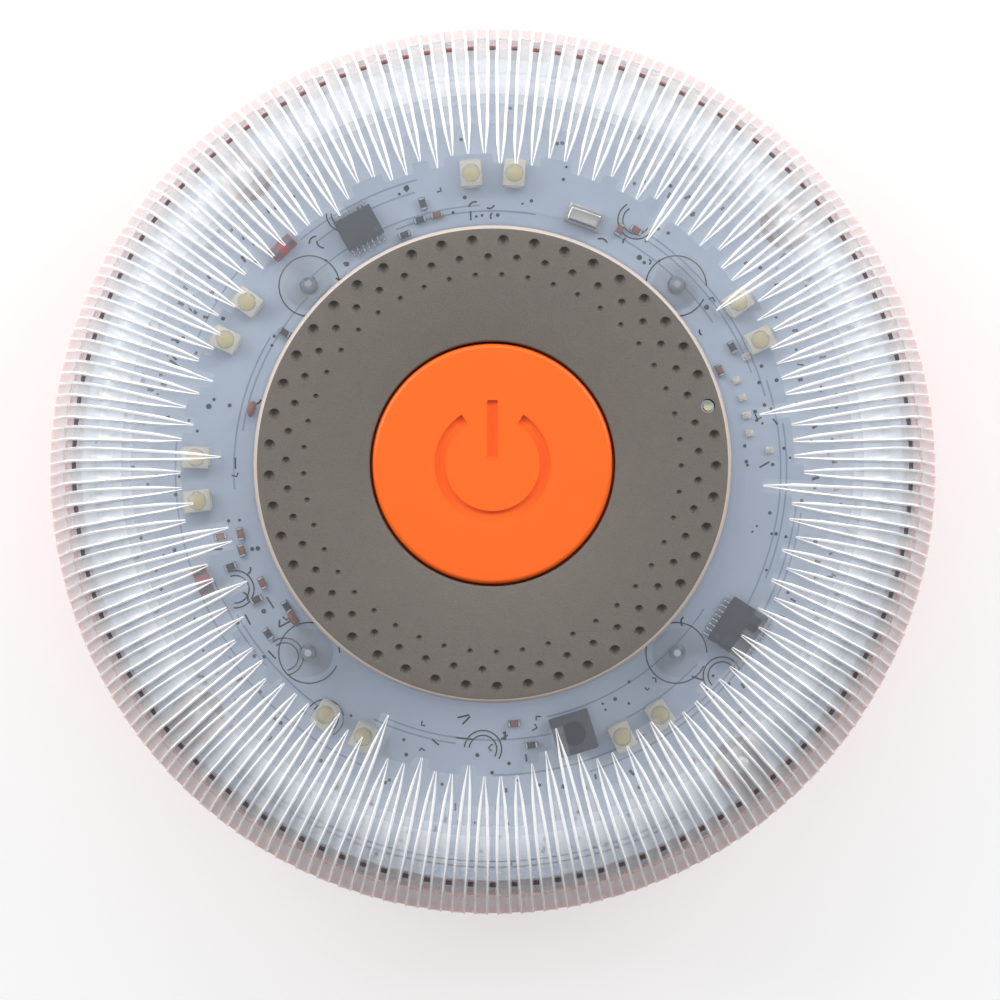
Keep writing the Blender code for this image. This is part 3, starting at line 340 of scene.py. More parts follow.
def carve(obj, cutters):
    """Cuts a bmesh of cutters out of an object and applies the cut."""
    bmesh.ops.recalc_face_normals(cutters, faces=cutters.faces)
    mesh = bpy.data.meshes.new("cutters")
    cutters.to_mesh(mesh)
    cutters.free()
    tool = bpy.data.objects.new("cutters", mesh)
    bpy.context.scene.collection.objects.link(tool)
    modifier = obj.modifiers.new("cut", "BOOLEAN")
    modifier.operation = "DIFFERENCE"
    modifier.object = tool
    graph = bpy.context.evaluated_depsgraph_get()
    result = bpy.data.meshes.new_from_object(obj.evaluated_get(graph))
    obj.modifiers.clear()
    old = obj.data
    obj.data = result
    bpy.data.meshes.remove(old)
    bpy.data.objects.remove(tool)
    bpy.data.meshes.remove(mesh)
    result.shade_smooth()
    result.set_sharp_from_angle(angle=math.radians(30))


def rounded_corner(before, corner, after, radius, parts):
    """The points of an arc of that radius that rounds the corner between two straight runs."""
    corner = Vector(corner)
    to_before = (Vector(before) - corner).normalized()
    to_after = (Vector(after) - corner).normalized()
    half = to_before.angle(to_after) / 2
    start = corner + to_before * radius / math.tan(half)
    end = corner + to_after * radius / math.tan(half)
    centre = corner + (to_before + to_after).normalized() * radius / math.sin(half)
    first, last = start - centre, end - centre
    turn = first.angle(last)
    points = []
    for k in range(parts + 1):
        share = k / parts
        blend = first * math.sin((1 - share) * turn) + last * math.sin(share * turn)
        points.append(centre + blend / math.sin(turn))
    return points


# ---------------------------------------------------------------- lens


def lens_outline(inset):
    """The lens's section from the cover plate's edge down to its lower edge, moved in by inset."""
    start = Vector((RECESS_RADIUS, LENS_TOP))
    corner = Vector((LENS_RADIUS - LENS_DRAFT, LENS_TOP - LENS_FALL))
    foot = Vector((LENS_RADIUS, LENS_LOW))
    shoulder = rounded_corner(start, corner, foot, LENS_SHOULDER, 18)
    flat = [start.lerp(shoulder[0], k / 13) for k in range(13)]
    wall = [shoulder[-1].lerp(foot, k / 7) for k in range(1, 8)]
    points = flat + shoulder + wall
    if not inset:
        return points
    moved = []
    for index, point in enumerate(points):
        along = points[min(index + 1, len(points) - 1)] - points[max(index - 1, 0)]
        normal = Vector((-along.y, along.x)).normalized()
        moved.append(point - normal * inset)
    return moved


def eased(value):
    value = max(0.0, min(1.0, value))
    return value * value * (3 - 2 * value)


CLEAR, EDGE_GLINT, INSIDE, SKIRT, BAND, FLUTE = 0, 1, 2, 3, 4, 8  # the lens's material places; bands and flutes have four; the rib edges' place is a near-opaque white, a painted glint


def rib_columns(distance, height, tip):
    """Sideways place, depth and material of a rib's columns, at that distance from the axis and that height."""
    share = min(1.0, max(0.0, (distance - tip) / (RIB_FULL - tip))) ** 0.8
    half = RIB_HALF * share
    edge = RIB_EDGE * max(0.2, min(1.0, (distance - tip) / (4 * MM))) if distance > tip else 0.03 * MM
    pitch = math.pi * distance / RIBS
    shallow = eased((height - LENS_LOW) / (LENS_TOP - LENS_LOW - LENS_SHOULDER))
    depth = RIB_DEPTH * share * (RIB_FOOT_SHARE + (1 - RIB_FOOT_SHARE) * shallow)
    return (
        (-half - 2 * edge, depth, FLUTE),
        (-half - edge, 0, EDGE_GLINT),
        (-half, 0.35 * depth, EDGE_GLINT),
        (0, 0.55 * depth, BAND),
        (half, 0.35 * depth, BAND),
        (half + edge, 0, EDGE_GLINT),
        (half + 2 * edge, depth, EDGE_GLINT),
        (pitch, depth, FLUTE),
    )


def make_lens():
    outer = lens_outline(0)
    inner = lens_outline(LENS_WALL)
    tips = []
    for rib in range(RIBS):
        long_rib = RNG.random() < 0.09
        tips.append(RIB_LONG_TIP if long_rib else RIB_TIP + RNG.uniform(-0.7, 1.5) * MM)
    bm = bmesh.new()
    rows = []
    kinds = []
    for index, point in enumerate(outer):
        along = outer[min(index + 1, len(outer) - 1)] - outer[max(index - 1, 0)]
        normal = Vector((-along.y, along.x)).normalized()
        row, kind = [], []
        for rib in range(RIBS):
            middle = 2 * math.pi * (rib + 0.5) / RIBS
            for side, depth, material in rib_columns(point.x, point.y, tips[rib]):
                spot = point - normal * depth
                angle = middle + side / point.x
                row.append(bm.verts.new((spot.x * math.cos(angle), spot.x * math.sin(angle), spot.y)))
                if point.x <= tips[rib] or (material == FLUTE and PEEP[0] < point.x < PEEP[1]):
                    material = CLEAR
                elif index > len(outer) - 8 and material != EDGE_GLINT:
                    material = SKIRT
                elif material != EDGE_GLINT:
                    material += min(3, max(0, int((point.x - MILK_START) / MILK_STEP)))
                kind.append(material)
        rows.append(row)
        kinds.append(kind)
    columns = len(rows[0])
    angles = [math.atan2(vert.co.y, vert.co.x) for vert in rows[0]]
    skirt = inner[-1].x
    bottoms = [(skirt, LENS_LOW)] + [(point.x, point.y) for point in inner[-2:13:-2]]
    ceiling = LENS_TOP - LENS_WALL - 0.1 * MM
    bottoms += [(RECESS_RADIUS + LENS_WALL, ceiling), (RECESS_RADIUS + LENS_WALL, RECESS_FLOOR - LENS_WALL)]
    bottoms += [
        (LENS_HOLE, RECESS_FLOOR - LENS_WALL), (LENS_HOLE, RECESS_FLOOR), (RECESS_RADIUS, RECESS_FLOOR)
    ]
    for radius, height in bottoms:
        rows.append([bm.verts.new((radius * math.cos(a), radius * math.sin(a), height)) for a in angles])
        kinds.append([INSIDE] * columns)
    for index, row in enumerate(rows):
        following = rows[(index + 1) % len(rows)]
        for k in range(columns):
            after = (k + 1) % columns
            face = bm.faces.new((row[k], row[after], following[after], following[k]))
            face.material_index = kinds[index][after] if index < len(outer) - 1 else INSIDE
    lens = piece(
        "lens_ribbed", bm, "housing", "clear_lens",
        LOOKS["clear_lens"], LENS_EDGE_GLINT, LENS_INSIDE, LENS_SKIRT, *LENS_BANDS, *LENS_FLUTES, sharp=50,
    )
    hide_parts("lens_dome")


def make_lens_posts():
    """The clear posts that hang from the lens: four for the board's screws and four for the case's."""
    bm = bmesh.new()
    for k in range(4):
        place = polar(32.0 * MM, math.radians(45 + 90 * k)).xy
        wall = [
            (1.1 * MM, BOARD_TOP + GAP), (3.0 * MM, BOARD_TOP + GAP), (3.0 * MM, LENS_TOP - 2.2 * MM),
            (1.1 * MM, LENS_TOP - 2.2 * MM)
        ]
        turned(bm, wall, 40, centre=place)
        place = polar(47.5 * MM, math.radians(40 + 90 * k)).xy
        wall = [(1.2 * MM, 17.6 * MM), (2.8 * MM, 17.6 * MM), (2.8 * MM, 33 * MM), (1.2 * MM, 33 * MM)]
        turned(bm, wall, 40, centre=place)
        web = standing(51.2 * MM, math.radians(40 + 90 * k), 23.9 * MM)
        block(bm, (2.6 * MM, 1.2 * MM, 12 * MM), web, 0.2 * MM)
    piece("lens_posts", bm, "housing", "clear_lens", LENS_INSIDE)


# ---------------------------------------------------------------- cover plate and button


def make_plate():
    bm = bmesh.new()
    outer = rounded_corner(
        (PLATE_RADIUS, PLATE_LOW), (PLATE_RADIUS, PLATE_TOP), (20 * MM, PLATE_TOP), PLATE_BEVEL, 5
    )
    lip = rounded_corner((20 * MM, PLATE_TOP), (PLATE_HOLE, PLATE_TOP), (PLATE_HOLE, PLATE_LOW), 0.3 * MM, 3)
    profile = [
        (PLATE_RADIUS, PLATE_LOW), *[tuple(p) for p in outer], *[tuple(p) for p in lip],
        (PLATE_HOLE, PLATE_LOW)
    ]
    turned(bm, profile, 240)
    # The faces of the rounded outer rim take the paler finish, a painted highlight.
    for face in bm.faces:
        middle = face.calc_center_median()
        if middle.xy.length > PLATE_RADIUS - 0.42 * MM:
            face.material_index = 1
    plate = piece("cover_plate_moulded", bm, "housing", "grey_plate", LOOKS["grey_plate"], PLATE_RIM_HIGHLIGHT)
    cutters = bmesh.new()
    for distance, radius, offset in DIMPLE_RINGS:
        for k in range(DIMPLES):
            angle = DIMPLE_START - 2 * math.pi * (k + offset) / DIMPLES
            if abs(distance - PIPE_PLACE[0]) < 1 * MM and abs(
                math.remainder(angle - PIPE_PLACE[1], math.tau)
            ) < 0.06:
                continue
            place = Matrix.Translation(polar(distance, angle, PLATE_TOP + 0.12 * radius))
            bmesh.ops.create_uvsphere(
                cutters, u_segments=20, v_segments=10, radius=radius * 1.01, matrix=place
            )
    place = polar(*PIPE_PLACE).xy
    disc(cutters, 0.85 * MM, PLATE_LOW - MM, PLATE_TOP + MM, place, steps=24)
    carve(plate, cutters)
    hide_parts("cover_plate")


def make_button():
    """The button: a domed skin with a rounded edge, a hidden lip and a stem, and a ring and bar sunk in its face."""
    bm = bmesh.new()
    rim = rounded_corner(
        (BUTTON_RADIUS, BUTTON_TOP - 3 * MM), (BUTTON_RADIUS, BUTTON_TOP), (0, BUTTON_TOP), 0.55 * MM, 6
    )
    lip_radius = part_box("button_cap")[1].x
    lip_top = PLATE_LOW - GAP
    ceiling = BUTTON_TOP - 1.9 * MM
    profile = [
        (0, BUTTON_TOP), *[tuple(p) for p in rim[::-1]],
        (BUTTON_RADIUS, lip_top), (lip_radius, lip_top), (lip_radius, lip_top - 1.2 * MM),
        (BUTTON_RADIUS - 1.6 * MM, lip_top - 1.2 * MM), (BUTTON_RADIUS - 1.6 * MM, ceiling),
        (3.0 * MM, ceiling), (3.0 * MM, BUTTON_LOW), (0, BUTTON_LOW),
    ]
    turned(bm, profile, 160, closed=False)
    button = piece("button_moulded", bm, "button", "orange_button")
    cutters = bmesh.new()
    low, high = BUTTON_TOP - SYMBOL_DEPTH, BUTTON_TOP + MM
    gap = math.radians(32)
    ribbon(
        cutters, arc((0, 0), SYMBOL_RADIUS, math.pi / 2 + gap, 5 * math.pi / 2 - gap, 72), SYMBOL_STROKE, low,
        high
    )
    carve(button, cutters)
    cutters = bmesh.new()
    ribbon(cutters, [(0, 0.8 * MM), (0, SYMBOL_RADIUS + 1.3 * MM)], SYMBOL_STROKE, low, high)
    carve(button, cutters)
    softened(button, 0.09 * MM)
    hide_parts("button_cap")


def softened(obj, width):
    """Rounds a piece's sharp edges a little, as a mould does."""
    bevel = obj.modifiers.new("soft_edges", "BEVEL")
    bevel.width = width
    bevel.segments = 2
    bevel.limit_method = "ANGLE"
    bevel.angle_limit = math.radians(40)
    bevel.harden_normals = False


def make_spring():
    """The button's return spring, a coil between the guide and the button."""
    low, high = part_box("return_spring")[0].z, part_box("return_spring")[1].z
    wire, radius, turns, sides = 0.3 * MM, 5.2 * MM, 4, 8
    steps = turns * 36
    bm = bmesh.new()
    rows = []
    for k in range(steps + 1):
        angle = math.tau * turns * k / steps
        height = low + wire + (high - low - 2 * wire) * k / steps
        out = polar(1, angle)
        middle = polar(radius, angle, height)
        row = []
        for side in range(sides):
            turn = math.tau * side / sides
            row.append(bm.verts.new(middle + (out * math.cos(turn) + Vector((0, 0, math.sin(turn)))) * wire))
        rows.append(row)
    for first, second in zip(rows, rows[1:]):
        for side in range(sides):
            after = (side + 1) % sides
            bm.faces.new((first[side], first[after], second[after], second[side]))
    bm.faces.new(rows[0])
    bm.faces.new(rows[-1])
    spring = piece("return_spring_coil", bm, "housing", "spring_steel")
    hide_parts("return_spring")
    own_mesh(spring)


# ---------------------------------------------------------------- board


def centre_of(node):
    low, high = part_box(node)
    middle = (low + high) / 2
    return middle.xy.length, math.atan2(middle.y, middle.x), low.z, high.z


def make_leds():
    """Each LED: a white package with metal ends, its yellow die and a clear dome."""
    for number in range(1, 13):
        distance, angle, low, high = centre_of(f"led_{number}")
        body_top = low + 1.3 * MM
        place = polar(distance, angle).xy
        bm = bmesh.new()
        block(bm, (3.3 * MM, 2.7 * MM, 1.2 * MM), standing(distance, angle, low + 0.65 * MM), 0.18 * MM)
        for side in (-1, 1):
            pad = standing(distance, angle, low + 0.45 * MM) @ Matrix.Translation((side * 1.62 * MM, 0, 0))
            block(bm, (0.4 * MM, 2.0 * MM, 0.8 * MM), pad, 0.08 * MM, 1)
        disc(bm, 0.95 * MM, body_top - 0.2 * MM, body_top + 0.02 * MM, place, 2, 28)
        dome_radius = 1.15 * MM
        height = high - body_top
        dome = [(dome_radius, body_top - 0.03 * MM)]
        for k in range(1, 7):
            turn = math.pi / 2 * k / 6
            dome.append((dome_radius * math.cos(turn) if k < 6 else 0, body_top + height * math.sin(turn)))
        turned(bm, [(0, body_top - 0.03 * MM)] + dome, 28, 3, place, closed=False)
        led = piece(
            f"led_{number}_detail", bm, "housing", "led_package",
            LOOKS["led_package"], LOOKS["nickel_plate"], PHOSPHOR, CLEAR_DOME,
        )
        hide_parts(f"led_{number}")


def make_chip(node, length, width, pins):
    """A black package with a dot at its first pin and a row of bent pins along both sides."""
    distance, angle, low, high = centre_of(node)
    bm = bmesh.new()
    middle = standing(distance, angle, low + 0.15 * MM + (high - low - 0.15 * MM) / 2)
    block(bm, (length, width, high - low - 0.15 * MM), middle, 0.12 * MM)
    dot = middle @ Matrix.Translation((-length / 2 + 0.8 * MM, -width / 2 + 0.8 * MM, 0))
    disc(bm, 0.3 * MM, high - 0.1 * MM, high + 0.01 * MM, dot.translation.xy, 2, 16)
    for side in (-1, 1):
        for k in range(pins):
            along = (k - (pins - 1) / 2) * (width - 0.8 * MM) / (pins - 1)
            foot = standing(distance, angle, low + 0.12 * MM) @ Matrix.Translation(
                (side * (length / 2 + 0.62 * MM), along, 0)
            )
            block(bm, (0.6 * MM, 0.26 * MM, 0.2 * MM), foot, 0.04 * MM, 1, 1)
            leg = standing(distance, angle, low + 0.42 * MM) @ Matrix.Translation(
                (side * (length / 2 + 0.2 * MM), along, 0)
            )
            block(bm, (0.5 * MM, 0.26 * MM, 0.6 * MM), leg, 0.05 * MM, 1, 1)
    chip = piece(
        f"{node}_package", bm, "housing", "black_epoxy", LOOKS["black_epoxy"], SOLDER, LOOKS["ferrite"]
    )
    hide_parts(node)


def make_board_blocks():
    make_chip("controller_chip", 5.0 * MM, 6.2 * MM, 9)
    make_chip("driver_chip", 4.0 * MM, 5.0 * MM, 7)

    distance, angle, low, high = centre_of("inductor")
    bm = bmesh.new()
    block(bm, (5 * MM, 5 * MM, 0.7 * MM), standing(distance, angle, low + 0.35 * MM), 0.15 * MM)
    block(bm, (5 * MM, 5 * MM, 0.6 * MM), standing(distance, angle, high - 0.3 * MM), 0.25 * MM)
    disc(bm, 2.1 * MM, low + 0.6 * MM, high - 0.5 * MM, polar(distance, angle).xy, 1, 32)
    disc(bm, 1.5 * MM, high - 0.1 * MM, high, polar(distance, angle).xy, 0, 32)
    inductor = piece("inductor_wound", bm, "housing", "ferrite", LOOKS["ferrite"], BROWN_DISC)
    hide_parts("inductor")

    distance, angle, low, high = centre_of("crystal")
    bm = bmesh.new()
    block(bm, (2.5 * MM, 4.6 * MM, 0.25 * MM), standing(distance, angle, low + 0.125 * MM), 0.08 * MM)
    block(
        bm, (2.1 * MM, 4.2 * MM, high - low - 0.2 * MM),
        standing(distance, angle, (low + high + 0.2 * MM) / 2), 0.45 * MM, segments=4
    )
    crystal = piece("crystal_can", bm, "housing", "nickel_plate")
    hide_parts("crystal")

    for number in (1, 2):
        distance, angle, low, high = centre_of(f"tantalum_capacitor_{number}")
        bm = bmesh.new()
        for part, reach, shade in ((-1, 1.15, 1), (0, 1.1, 0), (1, 1.15, 1)):
            place = standing(
                distance, angle, (low + high) / 2, math.pi / 2
            ) @ Matrix.Translation((part * 1.12 * MM, 0, 0))
            block(bm, (reach * MM, 1.8 * MM, high - low - 0.1 * MM * abs(part)), place, 0.15 * MM, shade)
        capacitor = piece(
            f"tantalum_{number}_case", bm, "housing", "red_epoxy", LOOKS["red_epoxy"], LOOKS["ferrite"]
        )
        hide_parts(f"tantalum_capacitor_{number}")


def clear_of_blocks(distance, angle, taken, room):
    spot = polar(distance, angle).xy
    return all((spot - other).length > room + size for other, size in taken)


def make_small_parts():
    """Chip resistors and capacitors, six small white lamps, solder joints and two brown discs."""
    taken = [(polar(*centre_of(node)[:2]).xy, size * MM) for node, size in (
        ("controller_chip", 4.4), ("driver_chip", 3.9), ("inductor", 3.9), ("crystal", 2.8),
        ("tantalum_capacitor_1", 2.4), ("tantalum_capacitor_2", 2.4), ("light_sensor", 1.5),
    )]
    taken += [(polar(*centre_of(f"led_{number}")[:2]).xy, 2.4 * MM) for number in range(1, 13)]
    taken += [(polar(32 * MM, math.radians(45 + 90 * k)).xy, 3.2 * MM) for k in range(4)]
    taken += [(polar(47.5 * MM, math.radians(40 + 90 * k)).xy, 3.6 * MM) for k in range(4)]
    lamps = bmesh.new()
    for k in range(6):
        distance = (34.2 if k in (0, 5) else 32.0) * MM
        angle = math.radians(24 - 4 * k)
        spot = polar(distance, angle).xy
        block(
            lamps, (1.0 * MM, 0.8 * MM, 0.35 * MM), standing(distance, angle, BOARD_TOP + 0.18 * MM),
            0.06 * MM
        )
        dome = [
            (
                0.38 * MM * math.cos(t), BOARD_TOP + 0.34 * MM + 0.3 * MM * math.sin(t)
            ) for t in (0, 0.5, 1.0, 1.3)
        ]
        turned(
            lamps, [(0, BOARD_TOP + 0.34 * MM), *dome, (0, BOARD_TOP + 0.64 * MM)], 20, 1, spot, closed=False
        )
        taken.append((spot, 0.8 * MM))
    piece("small_white_lamps", lamps, "housing", "led_package", LOOKS["led_package"], CLEAR_DOME)

    clusters = (
        (128, 14, 9), (112, 10, 6), (140, 8, 5), (205, 12, 8), (218, 10, 7), (62, 12, 5), (32, 12, 6),
        (322, 10, 7), (282, 8, 3)
    )
    parts = bmesh.new()
    for middle, spread, count in clusters:
        for _ in range(count * 2):
            distance = RNG.uniform(30.2, 34.6) * MM
            angle = math.radians(middle + RNG.uniform(-spread, spread))
            turn = RNG.choice((0, math.pi / 2))
            if not clear_of_blocks(distance, angle, taken, 1.1 * MM):
                continue
            taken.append((polar(distance, angle).xy, 0.9 * MM))
            body = standing(distance, angle, BOARD_TOP + 0.3 * MM, turn)
            block(parts, (0.95 * MM, 0.8 * MM, 0.5 * MM), body, 0.05 * MM, RNG.choice((0, 0, 2)))
            for side in (-1, 1):
                end = body @ Matrix.Translation((side * 0.62 * MM, 0, 0))
                block(parts, (0.32 * MM, 0.84 * MM, 0.54 * MM), end, 0.05 * MM, 1)
    piece("chip_resistors", parts, "housing", "black_epoxy", LOOKS["black_epoxy"], SOLDER, BROWN_DISC)

    discs = bmesh.new()
    for distance, degrees in ((30.6, 166), (30.7, 217)):
        place = standing(
            distance * MM, math.radians(degrees), BOARD_TOP + 1.0 * MM
        ) @ Matrix.Diagonal((0.55, 1.1, 1, 1))
        bmesh.ops.create_uvsphere(discs, u_segments=24, v_segments=14, radius=0.95 * MM, matrix=place)
    piece("disc_capacitors", discs, "housing", "red_epoxy", BROWN_DISC)
    return taken


def make_board_print(taken):
    """Ink marks, holes and raised tracks on the board: outlines, ticks and arcs with no lettering."""
    low, high = BOARD_TOP - 0.02 * MM, BOARD_TOP + 0.045 * MM
    ink = bmesh.new()
    for k in range(4):
        place = polar(32 * MM, math.radians(45 + 90 * k))
        ribbon(ink, arc(place, 3.75 * MM, 0, math.tau * 0.93, 40), 0.16 * MM, low, high)
    for middle, distance in (
        (60, 35.5), (120, 36.5), (205, 35), (222, 34.5), (236, 37), (318, 38), (268, 34.5)
    ):
        centre = polar(distance * MM, math.radians(middle))
        start = math.radians(middle + 60)
        for radius in (1.7, 2.3):
            ribbon(ink, arc(centre, radius * MM, start, start + 3.6, 22), 0.17 * MM, low, high)
    clusters = (
        (97, 12, 9), (118, 14, 18), (134, 10, 10), (62, 12, 12), (40, 8, 10), (205, 12, 12), (225, 12, 14),
        (318, 14, 18), (278, 8, 12), (262, 10, 6), (12, 12, 6), (172, 10, 6)
    )
    for middle, spread, count in clusters:
        for _ in range(count):
            distance = RNG.uniform(30.4, 36.5) * MM
            angle = math.radians(middle + RNG.uniform(-spread, spread))
            if not clear_of_blocks(distance, angle, taken, 0.5 * MM):
                continue
            place = polar(distance, angle)
            size = RNG.uniform(0.45, 0.85) * MM
            start = RNG.uniform(0, math.tau)
            kind = RNG.randrange(4)
            if kind == 0:
                ribbon(ink, arc(place, size, start, start + 1.7, 10), 0.22 * MM, low, high)
            elif kind == 1:
                along = polar(size, start).xy
                across = Vector((-along.y, along.x)) * 0.8
                ribbon(ink, [place.xy - along, place.xy, place.xy + across], 0.2 * MM, low, high)
            elif kind == 2:
                along = polar(size, start).xy
                ribbon(ink, [place.xy - along, place.xy + along], 0.22 * MM, low, high)
            else:
                disc(ink, size * 0.45, low, high, place.xy, steps=12)
    for _ in range(230):
        distance = RNG.uniform(31, 50) * MM
        angle = RNG.uniform(0, math.tau)
        if clear_of_blocks(distance, angle, taken, 0.3 * MM):
            disc(ink, RNG.uniform(0.14, 0.27) * MM, low, high, polar(distance, angle).xy, steps=10)
    for _ in range(210):
        distance = RNG.uniform(39, 48.5) * MM
        angle = math.radians(RNG.choice((RNG.uniform(175, 330), RNG.uniform(-30, 70), RNG.uniform(130, 180))))
        if clear_of_blocks(distance, angle, taken, 0.8 * MM):
            reach = RNG.uniform(0.3, 0.95) * MM
            start = polar(distance, angle).xy
            along = polar(reach, angle + RNG.uniform(-0.5, 0.5)).xy
            ribbon(ink, [start, start + along], RNG.uniform(0.2, 0.42) * MM, low, high)
    for edge in (0, 1):
        for k in range(4):
            first = math.radians(48 + 90 * k)
            ribbon(
                ink, arc((0, 0), (48.3 + edge * 0.7) * MM, first, first + math.radians(72), 60), 0.14 * MM,
                low, high
            )
    piece("board_ink", ink, "housing", "black_epoxy", BLACK_INK, smooth=False)

    tracks = bmesh.new()
    top = BOARD_TOP + 0.025 * MM
    for k in range(26):
        distance = (31.2 + 0.72 * (k % 13)) * MM
        start = RNG.uniform(0, math.tau)
        route = arc((0, 0), distance, start, start + RNG.uniform(0.25, 0.8), 26)
        ribbon(tracks, route, 0.22 * MM, low, top)
    piece("board_tracks", tracks, "housing", "white_board", COPPER_MARK, smooth=False)


# ---------------------------------------------------------------- base, foot and screws


def make_base():
    """The orange base at its finished roundness, with fine grip ribs round its wall."""
    rim_low, wall_top_z = BASE_TOP - 1.7 * MM, BASE_TOP - 2.5 * MM
    wall_top = (BASE_RADIUS - 0.8 * MM, wall_top_z)
    wall_foot = (wall_top[0] - 1.0 * MM, BASE_LOW)
    land = 0.5 * MM
    rim_inner = BASE_RADIUS - 2 * land - 1.4 * MM
    groove_floor = BASE_TOP - 1.1 * MM
    edge = rounded_corner(wall_top, wall_foot, (45 * MM, BASE_LOW), 2.2 * MM, 8)
    rim = rounded_corner((50 * MM, BASE_TOP), (BASE_RADIUS, BASE_TOP), (BASE_RADIUS, rim_low), 0.3 * MM, 3)
    lower_rim = rounded_corner((BASE_RADIUS, BASE_TOP), (BASE_RADIUS, rim_low), wall_top, 0.5 * MM, 3)
    wall = [Vector(wall_top).lerp(edge[0], k / 6) for k in range(7)]
    profile = [*rim, *lower_rim, *wall, *edge[1:]]
    profile = [tuple(point) for point in profile] + [
        (44.3 * MM, BASE_LOW), (44.3 * MM, 2.2 * MM), (39.2 * MM, 2.2 * MM), (39.2 * MM, BASE_LOW),
        (31.9 * MM, BASE_LOW), (31.76 * MM, BASE_LOW + 0.15 * MM), (31.76 * MM, 2.5 * MM),
        (29.06 * MM, 2.5 * MM), (29.06 * MM, 4.9 * MM), (33.76 * MM, 4.9 * MM), (33.76 * MM, 3.4 * MM),
        (wall_foot[0] - 2.1 * MM, 3.4 * MM), (rim_inner, groove_floor), (rim_inner, BASE_TOP),
        (rim_inner + land, BASE_TOP), (rim_inner + land, groove_floor),
        (BASE_RADIUS - land, groove_floor), (BASE_RADIUS - land, BASE_TOP),
    ]
    bm = bmesh.new()
    steps = 480
    turned(bm, profile, steps)
    foot, head = edge[0].y + 0.6 * MM, wall_top_z - 0.6 * MM
    for vert in bm.verts:
        radius = vert.co.xy.length
        if radius > wall_foot[0] - 0.6 * MM and vert.co.z < wall_top_z - 0.1 * MM and vert.co.z > 2.5 * MM:
            angle = math.atan2(vert.co.y, vert.co.x)
            groove = 0.5 + 0.5 * math.cos(120 * angle)
            fade = eased((vert.co.z - foot) / (1.5 * MM)) * eased((head - vert.co.z) / (1.5 * MM))
            vert.co.xy *= 1 - 0.35 * MM * groove * fade / radius
    base = piece("base_moulded", bm, "housing", "orange_abs", sharp=35)
    sinks = bmesh.new()
    for k in range(4):
        place = polar(47.5 * MM, math.radians(40 + 90 * k)).xy
        disc(sinks, 2.7 * MM, -1 * MM, 3.3 * MM, place, steps=40)
    carve(base, sinks)
    posts = bmesh.new()
    for k in range(4):
        place = polar(47.5 * MM, math.radians(40 + 90 * k)).xy
        turned(
            posts, [(1.4 * MM, 3.3 * MM), (3.1 * MM, 3.3 * MM), (3.1 * MM, 17.2 * MM), (1.4 * MM, 17.2 * MM)],
            32, centre=place
        )
    posts = piece("base_posts", posts, "housing", "orange_abs")
    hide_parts("base_shell")
    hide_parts("base_shell")


def make_foot_ring():
    """The rubber foot: a ring with three low treads."""
    low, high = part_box("foot_ring")[0].z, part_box("foot_ring")[1].z
    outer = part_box("foot_ring")[1].x
    inner = outer - 4.5 * MM
    profile = [(outer, high), (outer, low + 0.45 * MM), (outer - 0.35 * MM, low + 0.1 * MM)]
    treads = 3
    pitch = (outer - inner - 0.8 * MM) / treads
    for k in range(treads):
        start = outer - 0.4 * MM - k * pitch
        profile += [
            (start - 0.1 * MM, low), (start - pitch + 0.4 * MM, low),
            (start - pitch + 0.25 * MM, low + 0.35 * MM)
        ]
        if k < treads - 1:
            profile.append((start - pitch + 0.05 * MM, low + 0.35 * MM))
    profile += [(inner, low + 0.5 * MM), (inner, high)]
    bm = bmesh.new()
    turned(bm, profile, 192)
    ring = piece("foot_ring_treaded", bm, "housing", "black_rubber")
    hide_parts("foot_ring")


def make_screws():
    """The four case screws, with a cross in each head."""
    for number in range(1, 5):
        node = f"case_screw_{number}"
        low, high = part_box(node)
        place = ((low + high) / 2).xy
        head = low.z + 1.5 * MM
        crown = rounded_corner((1.6 * MM, head), (2.3 * MM, low.z), (0, low.z), 0.5 * MM, 4)
        profile = [(0, low.z), *[tuple(p) for p in crown[::-1]], (2.3 * MM, head), (1.1 * MM, head)]
        height = head
        while height < high.z - 0.9 * MM:
            profile += [(0.85 * MM, height + 0.3 * MM), (1.1 * MM, height + 0.6 * MM)]
            height += 0.6 * MM
        profile.append((0, high.z))
        bm = bmesh.new()
        turned(bm, profile, 32, 0, place, closed=False)
        screw = piece(f"{node}_cross", bm, "housing", "zinc_screw")
        for turn in (0, math.pi / 2):
            cutter = bmesh.new()
            angle = math.atan2(place.y, place.x) + turn
            block(
                cutter, (2.5 * MM, 0.55 * MM, 1.6 * MM),
                Matrix.Translation((*place, low.z)) @ Matrix.Rotation(angle, 4, "Z")
            )
            carve(screw, cutter)
        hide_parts(node)


# ---------------------------------------------------------------- carried-over pieces, stage, lights and camera


def dress_nodes():
    """Gives every carried-over piece the finish of its slot, and a few of them a small rounding where their edges
    are sharp.
    """
    slots = {row["node"]: row["material_slot"] for row in frame["record"]["subparts"]}
    for name, obj in frame["nodes"].items():
        obj.data.materials.clear()
        obj.data.materials.append(LOOKS[slots[name]])
        if name in (
            "battery_door", "magnet", "magnet_cup", "battery_cradle", "switch_body", "switch_plunger"
        ):
            softened(obj, 0.12 * MM)


FLOOR_HOLE = 42.0 * MM


